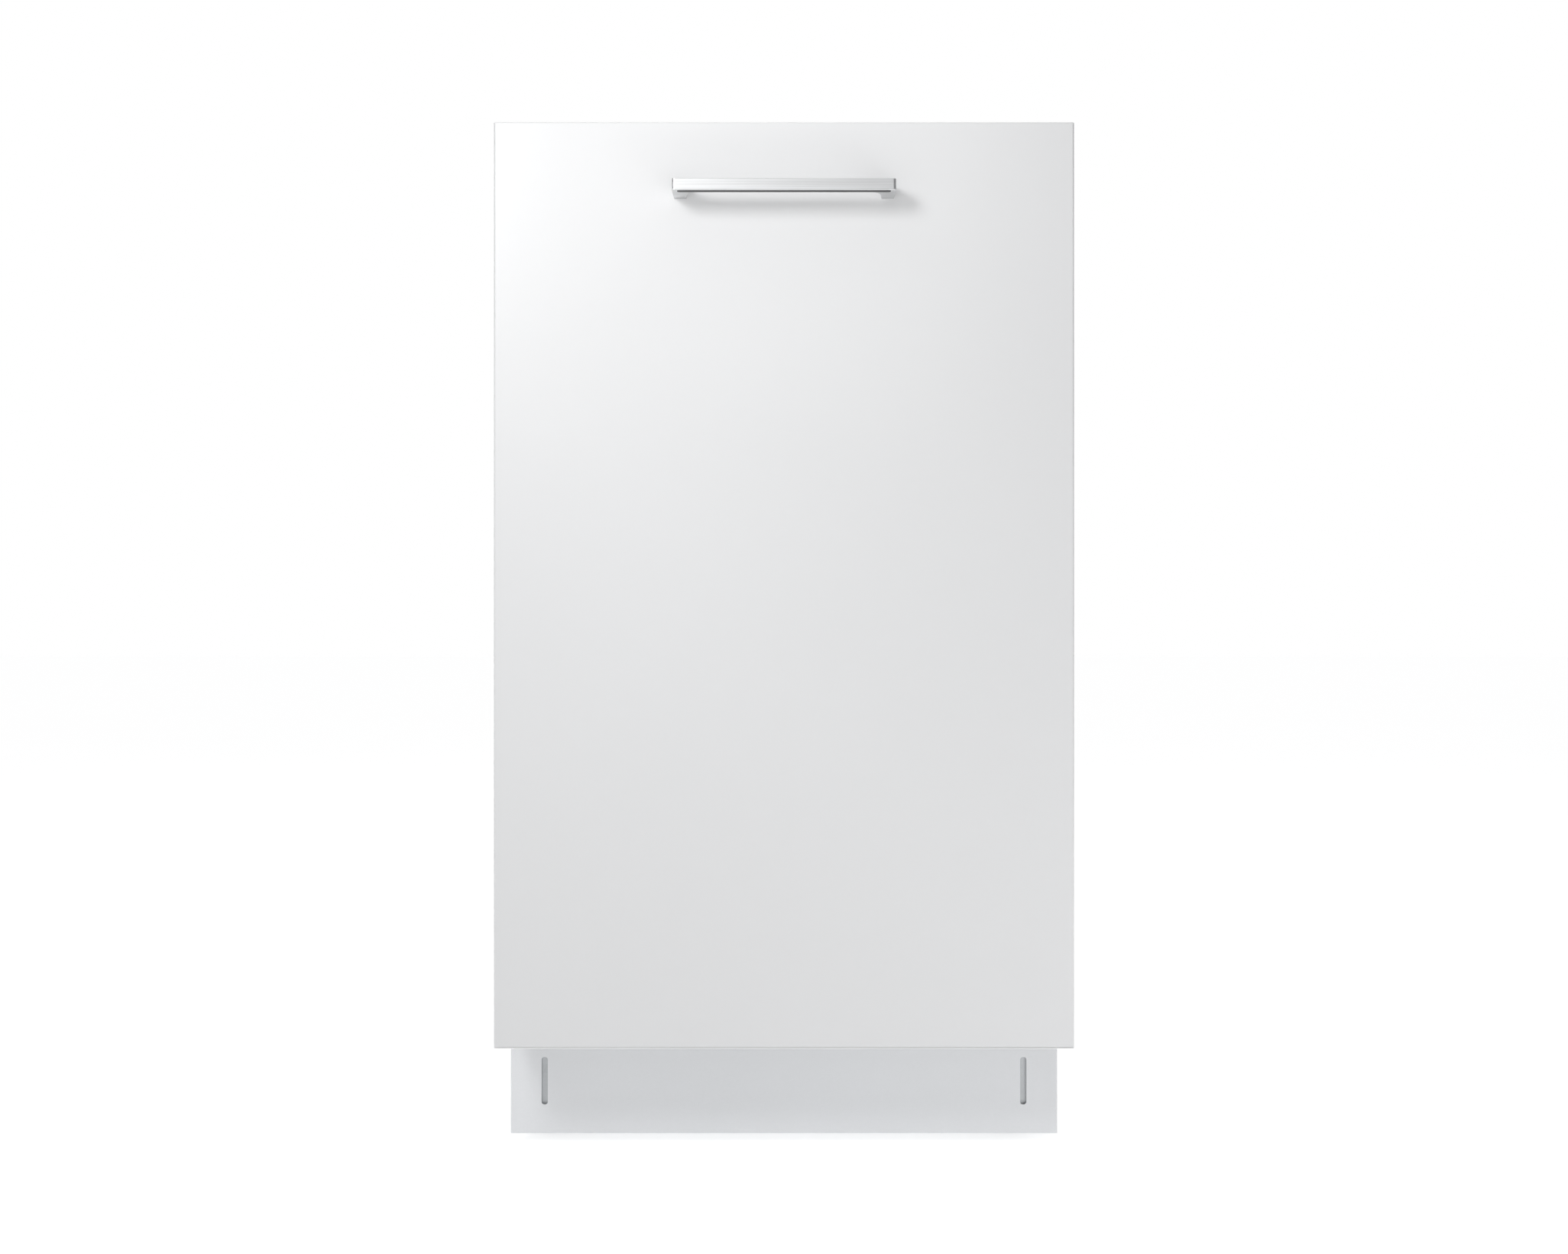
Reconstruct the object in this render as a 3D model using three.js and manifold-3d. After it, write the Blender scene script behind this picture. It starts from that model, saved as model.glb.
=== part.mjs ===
// A slimline built-in dishwasher: steel cabinet, plastic base on four screw feet, stainless tub, two
// racks, three spray arms and a balanced drop-down door that carries a furniture front with a bow handle.
// Millimetres, +Z up, front towards -Y, origin on the floor under the middle of the whole object.

import * as THREE from "three";
import { mergeVertices } from "three/addons/utils/BufferGeometryUtils.js";
import Module from "manifold-3d";

const wasm = await Module();
wasm.setup();

// ---------------------------------------------------------------- driving dimensions
const WIDTH = 448; // cabinet and furniture front
const HEIGHT = 815; // floor to top cover with the feet screwed in
const DEPTH = 550; // cabinet and its own door, without the furniture front
const GAP = 0.3; // clearance between pieces that touch
const SHEET = 1; // cabinet and door sheet steel

const FRONT_HEIGHT = 715; // furniture front
const FRONT_THICKNESS = 18;
const FRONT_BEVEL = 1.2;

const HANDLE_REACH = 34; // bar's face in front of the furniture front
const HANDLE_LENGTH = 170;
const HANDLE_HOLES = 160; // centre to centre of its two screws
const HANDLE_HEIGHT = 9.2;
const HANDLE_BAR = 8; // thickness of the grip
const HANDLE_DROP = 54.6; // top of the front down to the bar's middle

const DOOR_THICKNESS = 40; // outer sheet to liner
const TRACK_HEIGHT = 3.5;
const SEAL_THICKNESS = 3.4;
const SEAL_WIDTH = 10;
const HINGE_BEHIND_FLANGE = 4;
const HINGE_HEIGHT = 112;
const HINGE_PIN_RADIUS = 4;
const HINGE_PLATE = 3;
const RUNNING_GAP = 0.5;

const TUB_HALF_WIDTH = 200; // inside
const TUB_FLOOR = 124;
const TUB_CEILING = 790;
const TUB_BACK = 262;
const TUB_WALL = 1;
const TUB_CORNER = 12;
const FLANGE_WIDTH = 13;

const BASE_BOTTOM = 22;
const BASE_TOP = 105.4;
const BASE_HALF_WIDTH = 221.5;
const BASE_WALL = 3;
const BASE_BACK = 285;

const KICK_SETBACK = 96; // behind the furniture front's face
const KICK_HALF_WIDTH = 223;
const KICK_BOTTOM = 12.5;
const KICK_TOP = 100;
const KICK_SHEET = 1.2;
const KICK_SLOT = { spacing: 390.3, width: 5, bottom: 36.2, top: 74.8 };

const FOOT = { x: 190, front: -95, back: 262, padRadius: 19, studRadius: 5, top: 92 };

const LOWER_HUB = { x: 0, y: 45 }; // axis of the lower spray arm
const LOWER_ARM = { radius: 155, bottom: 136, height: 9 };
const SUMP = { x: 20, y: 0, radius: 96, bottom: 62 };
const FILTER = { x: 48, y: -34, radius: 34 };
const SALT = { x: -120, y: 150, radius: 30 };
const PUMP = { y: 152, z: 70, radius: 34 };
const INLET = { x: 150, z: 62, radius: 13 };
const GLAND = { x: -150, z: 62, radius: 8 };

const WIRE = 4; // rack wire
const LOWER_RACK = { halfWidth: 172, front: -176, back: 238, floor: 152, top: 285, frontTop: 262 };
const WHEEL = { radius: 15, width: 9, clearance: 0.5, front: -50, rear: 190 };
const TINE = { left: -160, right: 76, height: 88, count: 7, fixed: [-118, -46, 26], folding: 98 };
const CUTLERY = { x: 124, halfWidth: 37, front: -160, back: 50, height: 122, cells: [2, 5] };
const UPPER_RACK = { halfWidth: 176, front: -180, back: 225, floor: 487, top: 600, frontTop: 580 };
const SHELF_Z = 552;
const UPPER_HUB = { x: 0, y: 20 };
const UPPER_ARM = { radius: 160, bottom: 458, height: 8 };
const RAIL = { bottom: 524, height: 22, front: -195, back: 205, sheet: 1.5, depth: 4.3 };
const ROLLER_RADIUS = 7;

const DISPENSER = { z: 400, width: 154, height: 114, depth: 28, proud: 2 };
const CUP = { x: -28, width: 62, height: 56, depth: 22 };
const LID_THICKNESS = 3;
const RINSE = { x: 48, radius: 15 };

const CONTROL_HEIGHT = 27.2;
const CONTROL_WALL = 2.5;
const BUTTON = { radius: 6, proud: 1, clearance: 0.4 };
const BUTTON_X = { power: -185, program: -140, start: 185 };

// ---------------------------------------------------------------- planes worked out from them
const REAR = (DEPTH + FRONT_THICKNESS + HANDLE_REACH) / 2;
const DOOR_FRONT = REAR - DEPTH;
const FRONT_FACE = DOOR_FRONT - FRONT_THICKNESS;
const HANDLE_FACE = FRONT_FACE - HANDLE_REACH;
const LINER_FACE = DOOR_FRONT + DOOR_THICKNESS;
const TUB_FRONT = LINER_FACE + SEAL_THICKNESS + 2 * GAP;
const HINGE_Y = TUB_FRONT + HINGE_BEHIND_FLANGE;
const FLANGE_HALF_WIDTH = TUB_HALF_WIDTH + FLANGE_WIDTH;
const FLANGE_BOTTOM = TUB_FLOOR - SEAL_WIDTH + GAP;
const FLANGE_TOP = TUB_CEILING + SEAL_WIDTH;
const FRONT_BOTTOM = HEIGHT - FRONT_HEIGHT;
const HANDLE_Z = HEIGHT - HANDLE_DROP;
const CONTROL_TOP = HEIGHT - 3;
const CONTROL_BOTTOM = CONTROL_TOP - CONTROL_HEIGHT;
const CABINET_FRONT = TUB_FRONT + TUB_WALL + GAP + 0.2;
const CABINET_BOTTOM = BASE_TOP + GAP;
const PANEL_INNER = WIDTH / 2 - SHEET;
const KICK_FACE = FRONT_FACE + KICK_SETBACK;
const BASE_FRONT = KICK_FACE + KICK_SHEET + 3.8;
const BRACKET_X = FLANGE_HALF_WIDTH + 1; // inner face of the hinge bracket
const BRACKET_OUT = BRACKET_X + HINGE_PLATE - GAP;
const ARM_X = BRACKET_OUT + RUNNING_GAP; // inner face of the hinge arm
const ARM_OUT = ARM_X + HINGE_PLATE;
const TAIL_END = HINGE_Y + 61; // where the counterbalance spring pulls on the hinge arm
const SPRING_X = 208.5;
const SPRING_FOOT = 36;
const LOWER_FLOOR = LOWER_RACK.floor + WIRE;
const WHEEL_Z = TUB_FLOOR + WHEEL.radius + WHEEL.clearance;
const WHEEL_X = LOWER_RACK.halfWidth + 5.5; // inner face of a wheel
const DISPENSER_FACE = LINER_FACE + DISPENSER.proud;
const LID_PIVOT = { y: DISPENSER_FACE + GAP + LID_THICKNESS / 2, z: DISPENSER.z + CUP.height / 2 + 6 };

// ---------------------------------------------------------------- finishes
const finish = (color, roughness, metalness) =>
  new THREE.MeshStandardMaterial({ color, roughness, metalness });
const whiteLacquer = finish(0xf2f3f4, 0.3, 0);
const satinAluminium = finish(0xd9dadb, 0.35, 1);
const galvanisedSteel = finish(0xb9bcbf, 0.5, 0.9);
const greyPaintedSteel = finish(0xd0d2d4, 0.45, 0.1);
const stainlessSteel = finish(0xc9cbcc, 0.3, 1);
const zincPlatedSteel = finish(0xaeb1b5, 0.45, 1);
const greyPlastic = finish(0xadafb2, 0.55, 0);
const blackPlastic = finish(0x1c1e20, 0.5, 0);
const darkGlossPlastic = finish(0x17191b, 0.2, 0);
const rackCoating = finish(0xa9adb2, 0.5, 0);
const wheelPlastic = finish(0x6f747a, 0.5, 0);
const sealRubber = finish(0x3a3c3f, 0.8, 0);
const feltFabric = finish(0x5a5c5e, 0.95, 0);

// ---------------------------------------------------------------- solids and how they are made
function solid(geometry) {
  const bare = geometry.index ? geometry.toNonIndexed() : geometry.clone();
  bare.deleteAttribute("normal");
  bare.deleteAttribute("uv");
  const merged = mergeVertices(bare, 1e-3);
  return new wasm.Manifold(
    new wasm.Mesh({
      numProp: 3,
      vertProperties: merged.attributes.position.array,
      triVerts: new Uint32Array(merged.index.array),
    }),
  );
}

function geometryOf(manifold) {
  const { vertProperties, triVerts } = manifold.getMesh();
  const geometry = new THREE.BufferGeometry();
  geometry.setAttribute("position", new THREE.BufferAttribute(vertProperties, 3));
  geometry.setIndex(new THREE.BufferAttribute(triVerts, 1));
  return geometry;
}

const join = (...pieces) => pieces.reduce((a, b) => a.add(b));
const cut = (body, ...tools) => tools.reduce((a, b) => a.subtract(b), body);

// A rectangular block between two values on each axis.
function block([x0, x1], [y0, y1], [z0, z1]) {
  const geometry = new THREE.BoxGeometry(x1 - x0, y1 - y0, z1 - z0);
  return solid(geometry.translate((x0 + x1) / 2, (y0 + y1) / 2, (z0 + z1) / 2));
}

const extrude = (shape, depth, curveSegments) =>
  new THREE.ExtrudeGeometry(shape, { depth, bevelEnabled: false, curveSegments });

// A flat outline pulled along one axis: alongX takes (y, z), alongY (x, z) and alongZ (x, y).
const alongX = (shape, [x0, x1], steps = 2) =>
  solid(extrude(shape, x1 - x0, steps).rotateX(Math.PI / 2).rotateZ(Math.PI / 2).translate(x0, 0, 0));
const alongY = (shape, [y0, y1], steps = 2) =>
  solid(extrude(shape, y1 - y0, steps).rotateX(Math.PI / 2).translate(0, y1, 0));
const alongZ = (shape, [z0, z1], steps = 2) => solid(extrude(shape, z1 - z0, steps).translate(0, 0, z0));

const outline = (points) => new THREE.Shape(points.map(([u, v]) => new THREE.Vector2(u, v)));

function rounded([u0, u1], [v0, v1], r, Path = THREE.Shape) {
  const path = new Path();
  path.moveTo(u0 + r, v0);
  path.lineTo(u1 - r, v0).absarc(u1 - r, v0 + r, r, -Math.PI / 2, 0, false);
  path.lineTo(u1, v1 - r).absarc(u1 - r, v1 - r, r, 0, Math.PI / 2, false);
  path.lineTo(u0 + r, v1).absarc(u0 + r, v1 - r, r, Math.PI / 2, Math.PI, false);
  path.lineTo(u0, v0 + r).absarc(u0 + r, v0 + r, r, Math.PI, 1.5 * Math.PI, false);
  path.closePath();
  return path;
}

// The openings between evenly spread bars of a wire rack, as [start, end] pairs on whole millimetres.
function between(a, b, steps, wire = WIRE) {
  const bars = Array.from({ length: steps + 1 }, (_, i) => Math.round(a + (i * (b - a - wire)) / steps));
  return bars.slice(1).map((next, i) => [bars[i] + wire, next]);
}

// Every pairing of the entries of two lists, handed to a function that makes a solid.
const paired = (us, vs, make) => us.flatMap((u) => vs.map((v) => make(u, v)));

// A turned piece from a profile of [radius, height] that starts and ends on the axis, standing along Z.
function turned(profile, segments = 12) {
  const points = profile.map(([r, h]) => new THREE.Vector2(r, h));
  return new THREE.LatheGeometry(points, segments).rotateX(Math.PI / 2);
}

const bar = (r, h0, h1, segments = 12) => turned([[0, h0], [r, h0], [r, h1], [0, h1]], segments);
const post = (r, x, y, [z0, z1], segments = 12) => solid(bar(r, z0, z1, segments).translate(x, y, 0));
const axle = (r, [x0, x1], y, z, segments = 12) =>
  solid(bar(r, x0, x1, segments).rotateY(Math.PI / 2).translate(0, y, z));
const spigot = (r, x, [y0, y1], z, segments = 12) =>
  solid(bar(r, -y1, -y0, segments).rotateX(Math.PI / 2).translate(x, 0, z));

function piece(name, body, material) {
  const geometry = body.isBufferGeometry ? body : geometryOf(body);
  const mesh = new THREE.Mesh(geometry, material);
  mesh.name = name;
  return mesh;
}

function mirrored(name, side, body, material) {
  const right = side === "right";
  return piece(`${side}_${name}`, right ? body : body.mirror([1, 0, 0]), material);
}

// An assembly that turns or slides as one, with its origin at its joint.
function assembly(x, y, z, ...pieces) {
  const group = new THREE.Group();
  group.position.set(x, y, z);
  group.updateMatrixWorld();
  pieces.forEach((p) => group.attach(p));
  return group;
}

// ---------------------------------------------------------------- base and feet
function basePan() {
  const inside = BASE_HALF_WIDTH - BASE_WALL;
  const outer = block([-BASE_HALF_WIDTH, BASE_HALF_WIDTH], [BASE_FRONT, BASE_BACK], [BASE_BOTTOM, BASE_TOP]);
  const hollow = block(
    [-inside, inside],
    [BASE_FRONT + BASE_WALL, BASE_BACK - BASE_WALL],
    [BASE_BOTTOM + BASE_WALL, BASE_TOP + 1],
  );
  const corners = [-FOOT.x, FOOT.x].flatMap((x) => [FOOT.front, FOOT.back].map((y) => [x, y]));
  const bosses = corners.map(([x, y]) => post(FOOT.studRadius + 6, x, y, [BASE_BOTTOM, FOOT.top - 6]));
  const bores = corners.map(([x, y]) => post(FOOT.studRadius + GAP, x, y, [0, HEIGHT]));
  const throughBack = [BASE_BACK - 2 * BASE_WALL, BASE_BACK + 1];
  const hoseNotch = block([-40, 40], throughBack, [BASE_TOP - 45, BASE_TOP + 1]);
  const inletHole = spigot(INLET.radius + GAP, INLET.x, throughBack, INLET.z);
  const glandHole = spigot(GLAND.radius + GAP, GLAND.x, throughBack, GLAND.z);
  const pan = join(cut(outer, hollow), ...bosses);
  return piece("base_pan", cut(pan, ...bores, hoseNotch, inletHole, glandHole), greyPlastic);
}

function foot(name, x, y) {
  const { padRadius: pad, studRadius: stud, top } = FOOT;
  const profile = [
    [0, 0], [pad - 1, 0], [pad, 1.5], [pad, 5], [9, 8],
    [9, 11], [stud, 11], [stud, top], [0, top],
  ];
  const mesh = piece(name, turned(profile), blackPlastic);
  mesh.position.set(x, y, 0);
  return mesh;
}

function kickPlate() {
  const half = KICK_HALF_WIDTH;
  const face = outline([[-half, KICK_BOTTOM], [half, KICK_BOTTOM], [half, KICK_TOP], [-half, KICK_TOP]]);
  for (const side of [-1, 1]) {
    const x = (side * KICK_SLOT.spacing) / 2;
    const r = KICK_SLOT.width / 2;
    face.holes.push(rounded([x - r, x + r], [KICK_SLOT.bottom, KICK_SLOT.top], r - 0.01, THREE.Path));
  }
  const back = KICK_FACE + KICK_SHEET;
  const fold = [KICK_FACE, back + 22];
  const foldLeft = block([-half, -BASE_HALF_WIDTH - GAP], fold, [KICK_BOTTOM, KICK_TOP]);
  const foldRight = block([BASE_HALF_WIDTH + GAP, half], fold, [KICK_BOTTOM, KICK_TOP]);
  const foldBottom = block([-half, half], fold, [KICK_BOTTOM, KICK_BOTTOM + KICK_SHEET]);
  const sheet = alongY(face, [KICK_FACE, back]);
  return piece("kick_plate", join(sheet, foldLeft, foldRight, foldBottom), greyPaintedSteel);
}

// ---------------------------------------------------------------- cabinet
function sidePanel(side) {
  const fold = PANEL_INNER - FLANGE_HALF_WIDTH - 1;
  const inner = PANEL_INNER - fold;
  const back = REAR - SHEET - GAP;
  const tall = [CABINET_BOTTOM, HEIGHT - SHEET - GAP];
  const web = block([PANEL_INNER, WIDTH / 2], [CABINET_FRONT, back], tall);
  // The front fold stops above the sweep of the hinge arm's tail.
  const across = [inner, PANEL_INNER + SHEET / 2];
  const frontFold = block(across, [CABINET_FRONT, CABINET_FRONT + SHEET], [HINGE_HEIGHT + 80, tall[1]]);
  const backFold = block(across, [back - SHEET, back], tall);
  return mirrored("side_panel", side, join(web, frontFold, backFold), galvanisedSteel);
}

function rearPanel() {
  const sheet = block([-WIDTH / 2, WIDTH / 2], [REAR - SHEET, REAR], [CABINET_BOTTOM, HEIGHT]);
  return piece("rear_panel", sheet, galvanisedSteel);
}

function topCover() {
  const top = block([-WIDTH / 2, WIDTH / 2], [CABINET_FRONT, REAR - SHEET - GAP], [HEIGHT - SHEET, HEIGHT]);
  const lipHeight = [FLANGE_TOP + GAP, HEIGHT - SHEET / 2];
  const lip = block(
    [-FLANGE_HALF_WIDTH, FLANGE_HALF_WIDTH],
    [CABINET_FRONT, CABINET_FRONT + SHEET],
    lipHeight,
  );
  return piece("top_cover", join(top, lip), galvanisedSteel);
}

function insulationBlanket() {
  const inner = TUB_HALF_WIDTH + TUB_WALL + 1;
  const outer = FLANGE_HALF_WIDTH - 1;
  const ceiling = TUB_CEILING + TUB_WALL + 1;
  const legs = TUB_FLOOR + 1;
  const arch = outline([
    [-outer, legs], [-inner, legs], [-inner, ceiling], [inner, ceiling],
    [inner, legs], [outer, legs], [outer, ceiling + 10], [-outer, ceiling + 10],
  ]);
  const blanket = alongY(arch, [TUB_FRONT + 15, TUB_BACK - 7]);
  // Cut away where the counterbalance springs rise as the door comes down.
  const relief = block([-outer - 1, outer + 1], [TUB_FRONT, TAIL_END + 10], [TUB_FLOOR, HINGE_HEIGHT + 78]);
  return piece("insulation_blanket", cut(blanket, relief), feltFabric);
}

// ---------------------------------------------------------------- tub and what is fixed in it
function tub() {
  const w = TUB_HALF_WIDTH;
  const out = w + TUB_WALL;
  const span = [TUB_FLOOR, TUB_CEILING];
  const shell = rounded([-out, out], [TUB_FLOOR - TUB_WALL, TUB_CEILING + TUB_WALL], TUB_CORNER + TUB_WALL);
  shell.holes.push(rounded([-w, w], span, TUB_CORNER, THREE.Path));
  const back = rounded([-out, out], [TUB_FLOOR - TUB_WALL, TUB_CEILING + TUB_WALL], TUB_CORNER + TUB_WALL);
  const flange = rounded([-FLANGE_HALF_WIDTH, FLANGE_HALF_WIDTH], [FLANGE_BOTTOM, FLANGE_TOP], TUB_CORNER);
  flange.holes.push(rounded([-w, w], span, TUB_CORNER, THREE.Path));
  const walls = alongY(shell, [TUB_FRONT, TUB_BACK]);
  const rim = alongY(flange, [TUB_FRONT, TUB_FRONT + TUB_WALL]);
  const rear = alongY(back, [TUB_BACK, TUB_BACK + TUB_WALL]);
  const sumpHole = post(SUMP.radius - 6, SUMP.x, SUMP.y, [TUB_FLOOR - 10, TUB_FLOOR + 5], 24);
  const saltHole = post(SALT.radius + 2, SALT.x, SALT.y, [TUB_FLOOR - 10, TUB_FLOOR + 5]);
  return piece("tub", cut(join(walls, rim, rear), sumpHole, saltHole), stainlessSteel);
}

function tubSeal() {
  const outer = [TUB_HALF_WIDTH + 2, TUB_FLOOR - 2, TUB_CEILING + 2];
  const ring = rounded(
    [-outer[0] - SEAL_WIDTH + GAP, outer[0] + SEAL_WIDTH - GAP],
    [FLANGE_BOTTOM + GAP, FLANGE_TOP - GAP],
    TUB_CORNER,
  );
  ring.holes.push(rounded([-outer[0], outer[0]], [outer[1], outer[2]], TUB_CORNER, THREE.Path));
  return piece("tub_seal", alongY(ring, [LINER_FACE + GAP, TUB_FRONT - GAP]), sealRubber);
}

function sump() {
  const { x, y, radius, bottom } = SUMP;
  const top = TUB_FLOOR - TUB_WALL - GAP;
  const wall = 3;
  const bowl = turned(
    [[0, bottom], [radius - 20, bottom], [radius, bottom + 22], [radius, top],
      [radius - wall, top], [radius - wall, bottom + 23], [radius - 21, bottom + wall], [0, bottom + wall]],
    24,
  );
  const nozzle = post(10, LOWER_HUB.x, LOWER_HUB.y, [bottom + 1, LOWER_ARM.bottom + 4]);
  const bore = post(6, LOWER_HUB.x, LOWER_HUB.y, [bottom + 10, LOWER_ARM.bottom + 5]);
  return piece("sump", cut(join(solid(bowl.translate(x, y, 0)), nozzle), bore), greyPlastic);
}

function filterPlate() {
  const sheet = [TUB_FLOOR + GAP, TUB_FLOOR + GAP + 1.5];
  const disc = post(SUMP.radius + 4, SUMP.x, SUMP.y, sheet, 32);
  const cupHole = post(FILTER.radius + 1, FILTER.x, FILTER.y, [100, 150], 24);
  const hubHole = post(10.6, LOWER_HUB.x, LOWER_HUB.y, [100, 150]);
  return piece("filter_plate", cut(disc, cupHole, hubHole), stainlessSteel);
}

function filterCup() {
  const { x, y, radius: r } = FILTER;
  const seat = TUB_FLOOR + 2 * GAP + 1.5;
  const wall = 2;
  const cup = turned(
    [[0, SUMP.bottom + 14], [r, SUMP.bottom + 14], [r, seat], [r + 5, seat], [r + 5, seat + 2],
      [r - wall, seat + 2], [r - wall, SUMP.bottom + 16], [0, SUMP.bottom + 16]],
    24,
  );
  const grip = block([-r + 1, r - 1], [-2.5, 2.5], [seat - 20, seat + 5]);
  const mesh = piece("filter_cup", join(solid(cup), grip), greyPlastic);
  mesh.position.set(x, y, 0);
  return mesh;
}

function saltCap() {
  const seat = TUB_FLOOR + 3 + GAP;
  const rim = SALT.radius + 3;
  const lid = turned([[0, seat], [rim, seat], [rim, seat + 3], [rim - 3, seat + 5], [0, seat + 5]], 20);
  const rib = block([-rim + 9, rim - 9], [-2, 2], [seat + 4, seat + 7.5]);
  const mesh = piece("salt_cap", join(solid(lid), rib), greyPlastic);
  mesh.position.set(SALT.x, SALT.y, 0);
  return mesh;
}

// Feed pipe up the back of the tub and along its ceiling to the top spray head.
function feedPipe() {
  const [front, back] = [TUB_BACK - 16, TUB_BACK - GAP];
  const ceiling = TUB_CEILING - GAP;
  const run = outline([
    [front, TUB_FLOOR + GAP], [back, TUB_FLOOR + GAP], [back, ceiling],
    [UPPER_HUB.y - 12, ceiling], [UPPER_HUB.y - 12, ceiling - 12], [front, ceiling - 12],
  ]);
  const port = spigot(13, UPPER_HUB.x, [front - 2, front + 2], UPPER_RACK.floor - 8);
  const peg = post(6, UPPER_HUB.x, UPPER_HUB.y, [ceiling - 26, ceiling - 8]);
  return piece("feed_pipe", join(alongX(run, [-13, 13]), port, peg), greyPlastic);
}

function topSprayHead() {
  const top = TUB_CEILING - GAP - 12 - RUNNING_GAP;
  const head = turned(
    [[0, top - 18], [30, top - 18], [44, top - 12], [44, top - 7], [16, top - 3], [12, top],
      [6.5, top], [6.5, top - 15], [0, top - 15]],
    24,
  );
  const mesh = piece("top_spray_head", head, greyPlastic);
  mesh.position.set(UPPER_HUB.x, UPPER_HUB.y, 0);
  return mesh;
}

function outerRail(side) {
  const out = TUB_HALF_WIDTH - GAP;
  const { bottom, height, sheet, depth, front, back } = RAIL;
  const channel = outline([
    [out - depth, bottom], [out, bottom], [out, bottom + height], [out - depth, bottom + height],
    [out - depth, bottom + height - sheet], [out - sheet, bottom + height - sheet],
    [out - sheet, bottom + sheet], [out - depth, bottom + sheet],
  ]);
  return mirrored("outer_rail", side, alongY(channel, [front, back]), stainlessSteel);
}

// The sliding rail runs inside the outer one and carries the rack's rollers.
function innerRail(side) {
  const out = TUB_HALF_WIDTH - GAP - RAIL.sheet - RUNNING_GAP;
  const { sheet, front, back } = RAIL;
  const bottom = RAIL.bottom + sheet + RUNNING_GAP;
  const height = RAIL.height - 2 * (sheet + RUNNING_GAP);
  const depth = 7.5;
  const channel = outline([
    [out - depth, bottom], [out, bottom], [out, bottom + height], [out - depth, bottom + height],
    [out - depth, bottom + height - sheet], [out - sheet, bottom + height - sheet],
    [out - sheet, bottom + sheet], [out - depth, bottom + sheet],
  ]);
  return mirrored("inner_rail", side, alongY(channel, [front, back]), stainlessSteel);
}

function latchStrike() {
  const front = CABINET_FRONT - GAP;
  const plate = block([-20, 20], [front - 1.5, front], [FLANGE_TOP + 1.5, HEIGHT - 4]);
  const tongue = block([-8, 8], [LINER_FACE - 13, front - 1], [FLANGE_TOP + 3, FLANGE_TOP + 6]);
  const eye = block([-4, 4], [LINER_FACE - 9, LINER_FACE - 4], [FLANGE_TOP, FLANGE_TOP + 9]);
  return piece("latch_strike", cut(join(plate, tongue), eye), zincPlatedSteel);
}

// ---------------------------------------------------------------- working parts in the base
function circulationPump() {
  const motor = turned(
    [
      [0, -62], [28, -62], [PUMP.radius, -54], [PUMP.radius, 22], [24, 26],
      [24, 30], [38, 32], [38, 52], [12, 54], [0, 54],
    ],
    16,
  );
  const body = solid(motor.rotateY(Math.PI / 2).translate(0, PUMP.y, PUMP.z));
  const intake = spigot(12, 42, [SUMP.y + SUMP.radius + GAP, PUMP.y], PUMP.z);
  const saddle = block([-45, 5], [PUMP.y - 22, PUMP.y + 22], [BASE_BOTTOM + BASE_WALL + GAP, PUMP.z - 20]);
  return piece("circulation_pump", join(body, intake, saddle), blackPlastic);
}

function waterSoftener() {
  const floor = BASE_BOTTOM + BASE_WALL + GAP;
  const body = rounded([-205, -84], [84, 226], 14);
  const neckTop = TUB_FLOOR + 3;
  const neck = post(SALT.radius, SALT.x, SALT.y, [100, neckTop]);
  const well = post(SALT.radius - 4, SALT.x, SALT.y, [floor + 20, neckTop + 1]);
  const tank = alongZ(body, [floor, TUB_FLOOR - TUB_WALL - 2]);
  return piece("water_softener", cut(join(tank, neck), well), greyPlastic);
}

function inletValve() {
  const { x, z, radius } = INLET;
  const body = block([x - 22, x + 22], [BASE_BACK - 52, BASE_BACK - BASE_WALL - GAP], [z - 18, z + 26]);
  const thread = spigot(radius, x, [BASE_BACK - 10, REAR - 2], z);
  const bore = spigot(radius - 4, x, [BASE_BACK - 20, REAR], z);
  return piece("inlet_valve", cut(join(body, thread), bore), blackPlastic);
}

function cableGland() {
  const { x, z, radius } = GLAND;
  const collar = spigot(radius + 4, x, [BASE_BACK + GAP, BASE_BACK + 5], z);
  const barrel = spigot(radius, x, [BASE_BACK - 12, REAR - 3], z);
  const bore = spigot(radius - 3.5, x, [BASE_BACK - 13, REAR], z);
  return piece("cable_gland", cut(join(collar, barrel), bore), blackPlastic);
}

// ---------------------------------------------------------------- hinges
function hingeBracket(side) {
  const width = [BRACKET_X, BRACKET_OUT];
  const [low, high] = [BASE_TOP + 0.6, HINGE_HEIGHT + 6];
  const hub = axle(8.5, width, HINGE_Y, HINGE_HEIGHT, 16);
  const over = block(width, [HINGE_Y, HINGE_Y + 51], [low, high]);
  const legDepth = [HINGE_Y + 39, HINGE_Y + 51];
  const leg = block(width, legDepth, [SPRING_FOOT - 4, high]);
  const pad = block([BRACKET_OUT - 1, BASE_HALF_WIDTH - BASE_WALL - GAP], legDepth, [50, 90]);
  const anchorDepth = [HINGE_Y + 39, TAIL_END + 6];
  const anchor = block([SPRING_X - 6, BRACKET_OUT], anchorDepth, [SPRING_FOOT - 4, SPRING_FOOT]);
  const pin = axle(HINGE_PIN_RADIUS, [BRACKET_X, ARM_OUT + 1.3], HINGE_Y, HINGE_HEIGHT);
  const head = axle(6.2, [ARM_OUT + GAP, ARM_OUT + 1.5], HINGE_Y, HINGE_HEIGHT);
  return mirrored("hinge_bracket", side, join(hub, over, leg, pad, anchor, pin, head), zincPlatedSteel);
}

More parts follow.
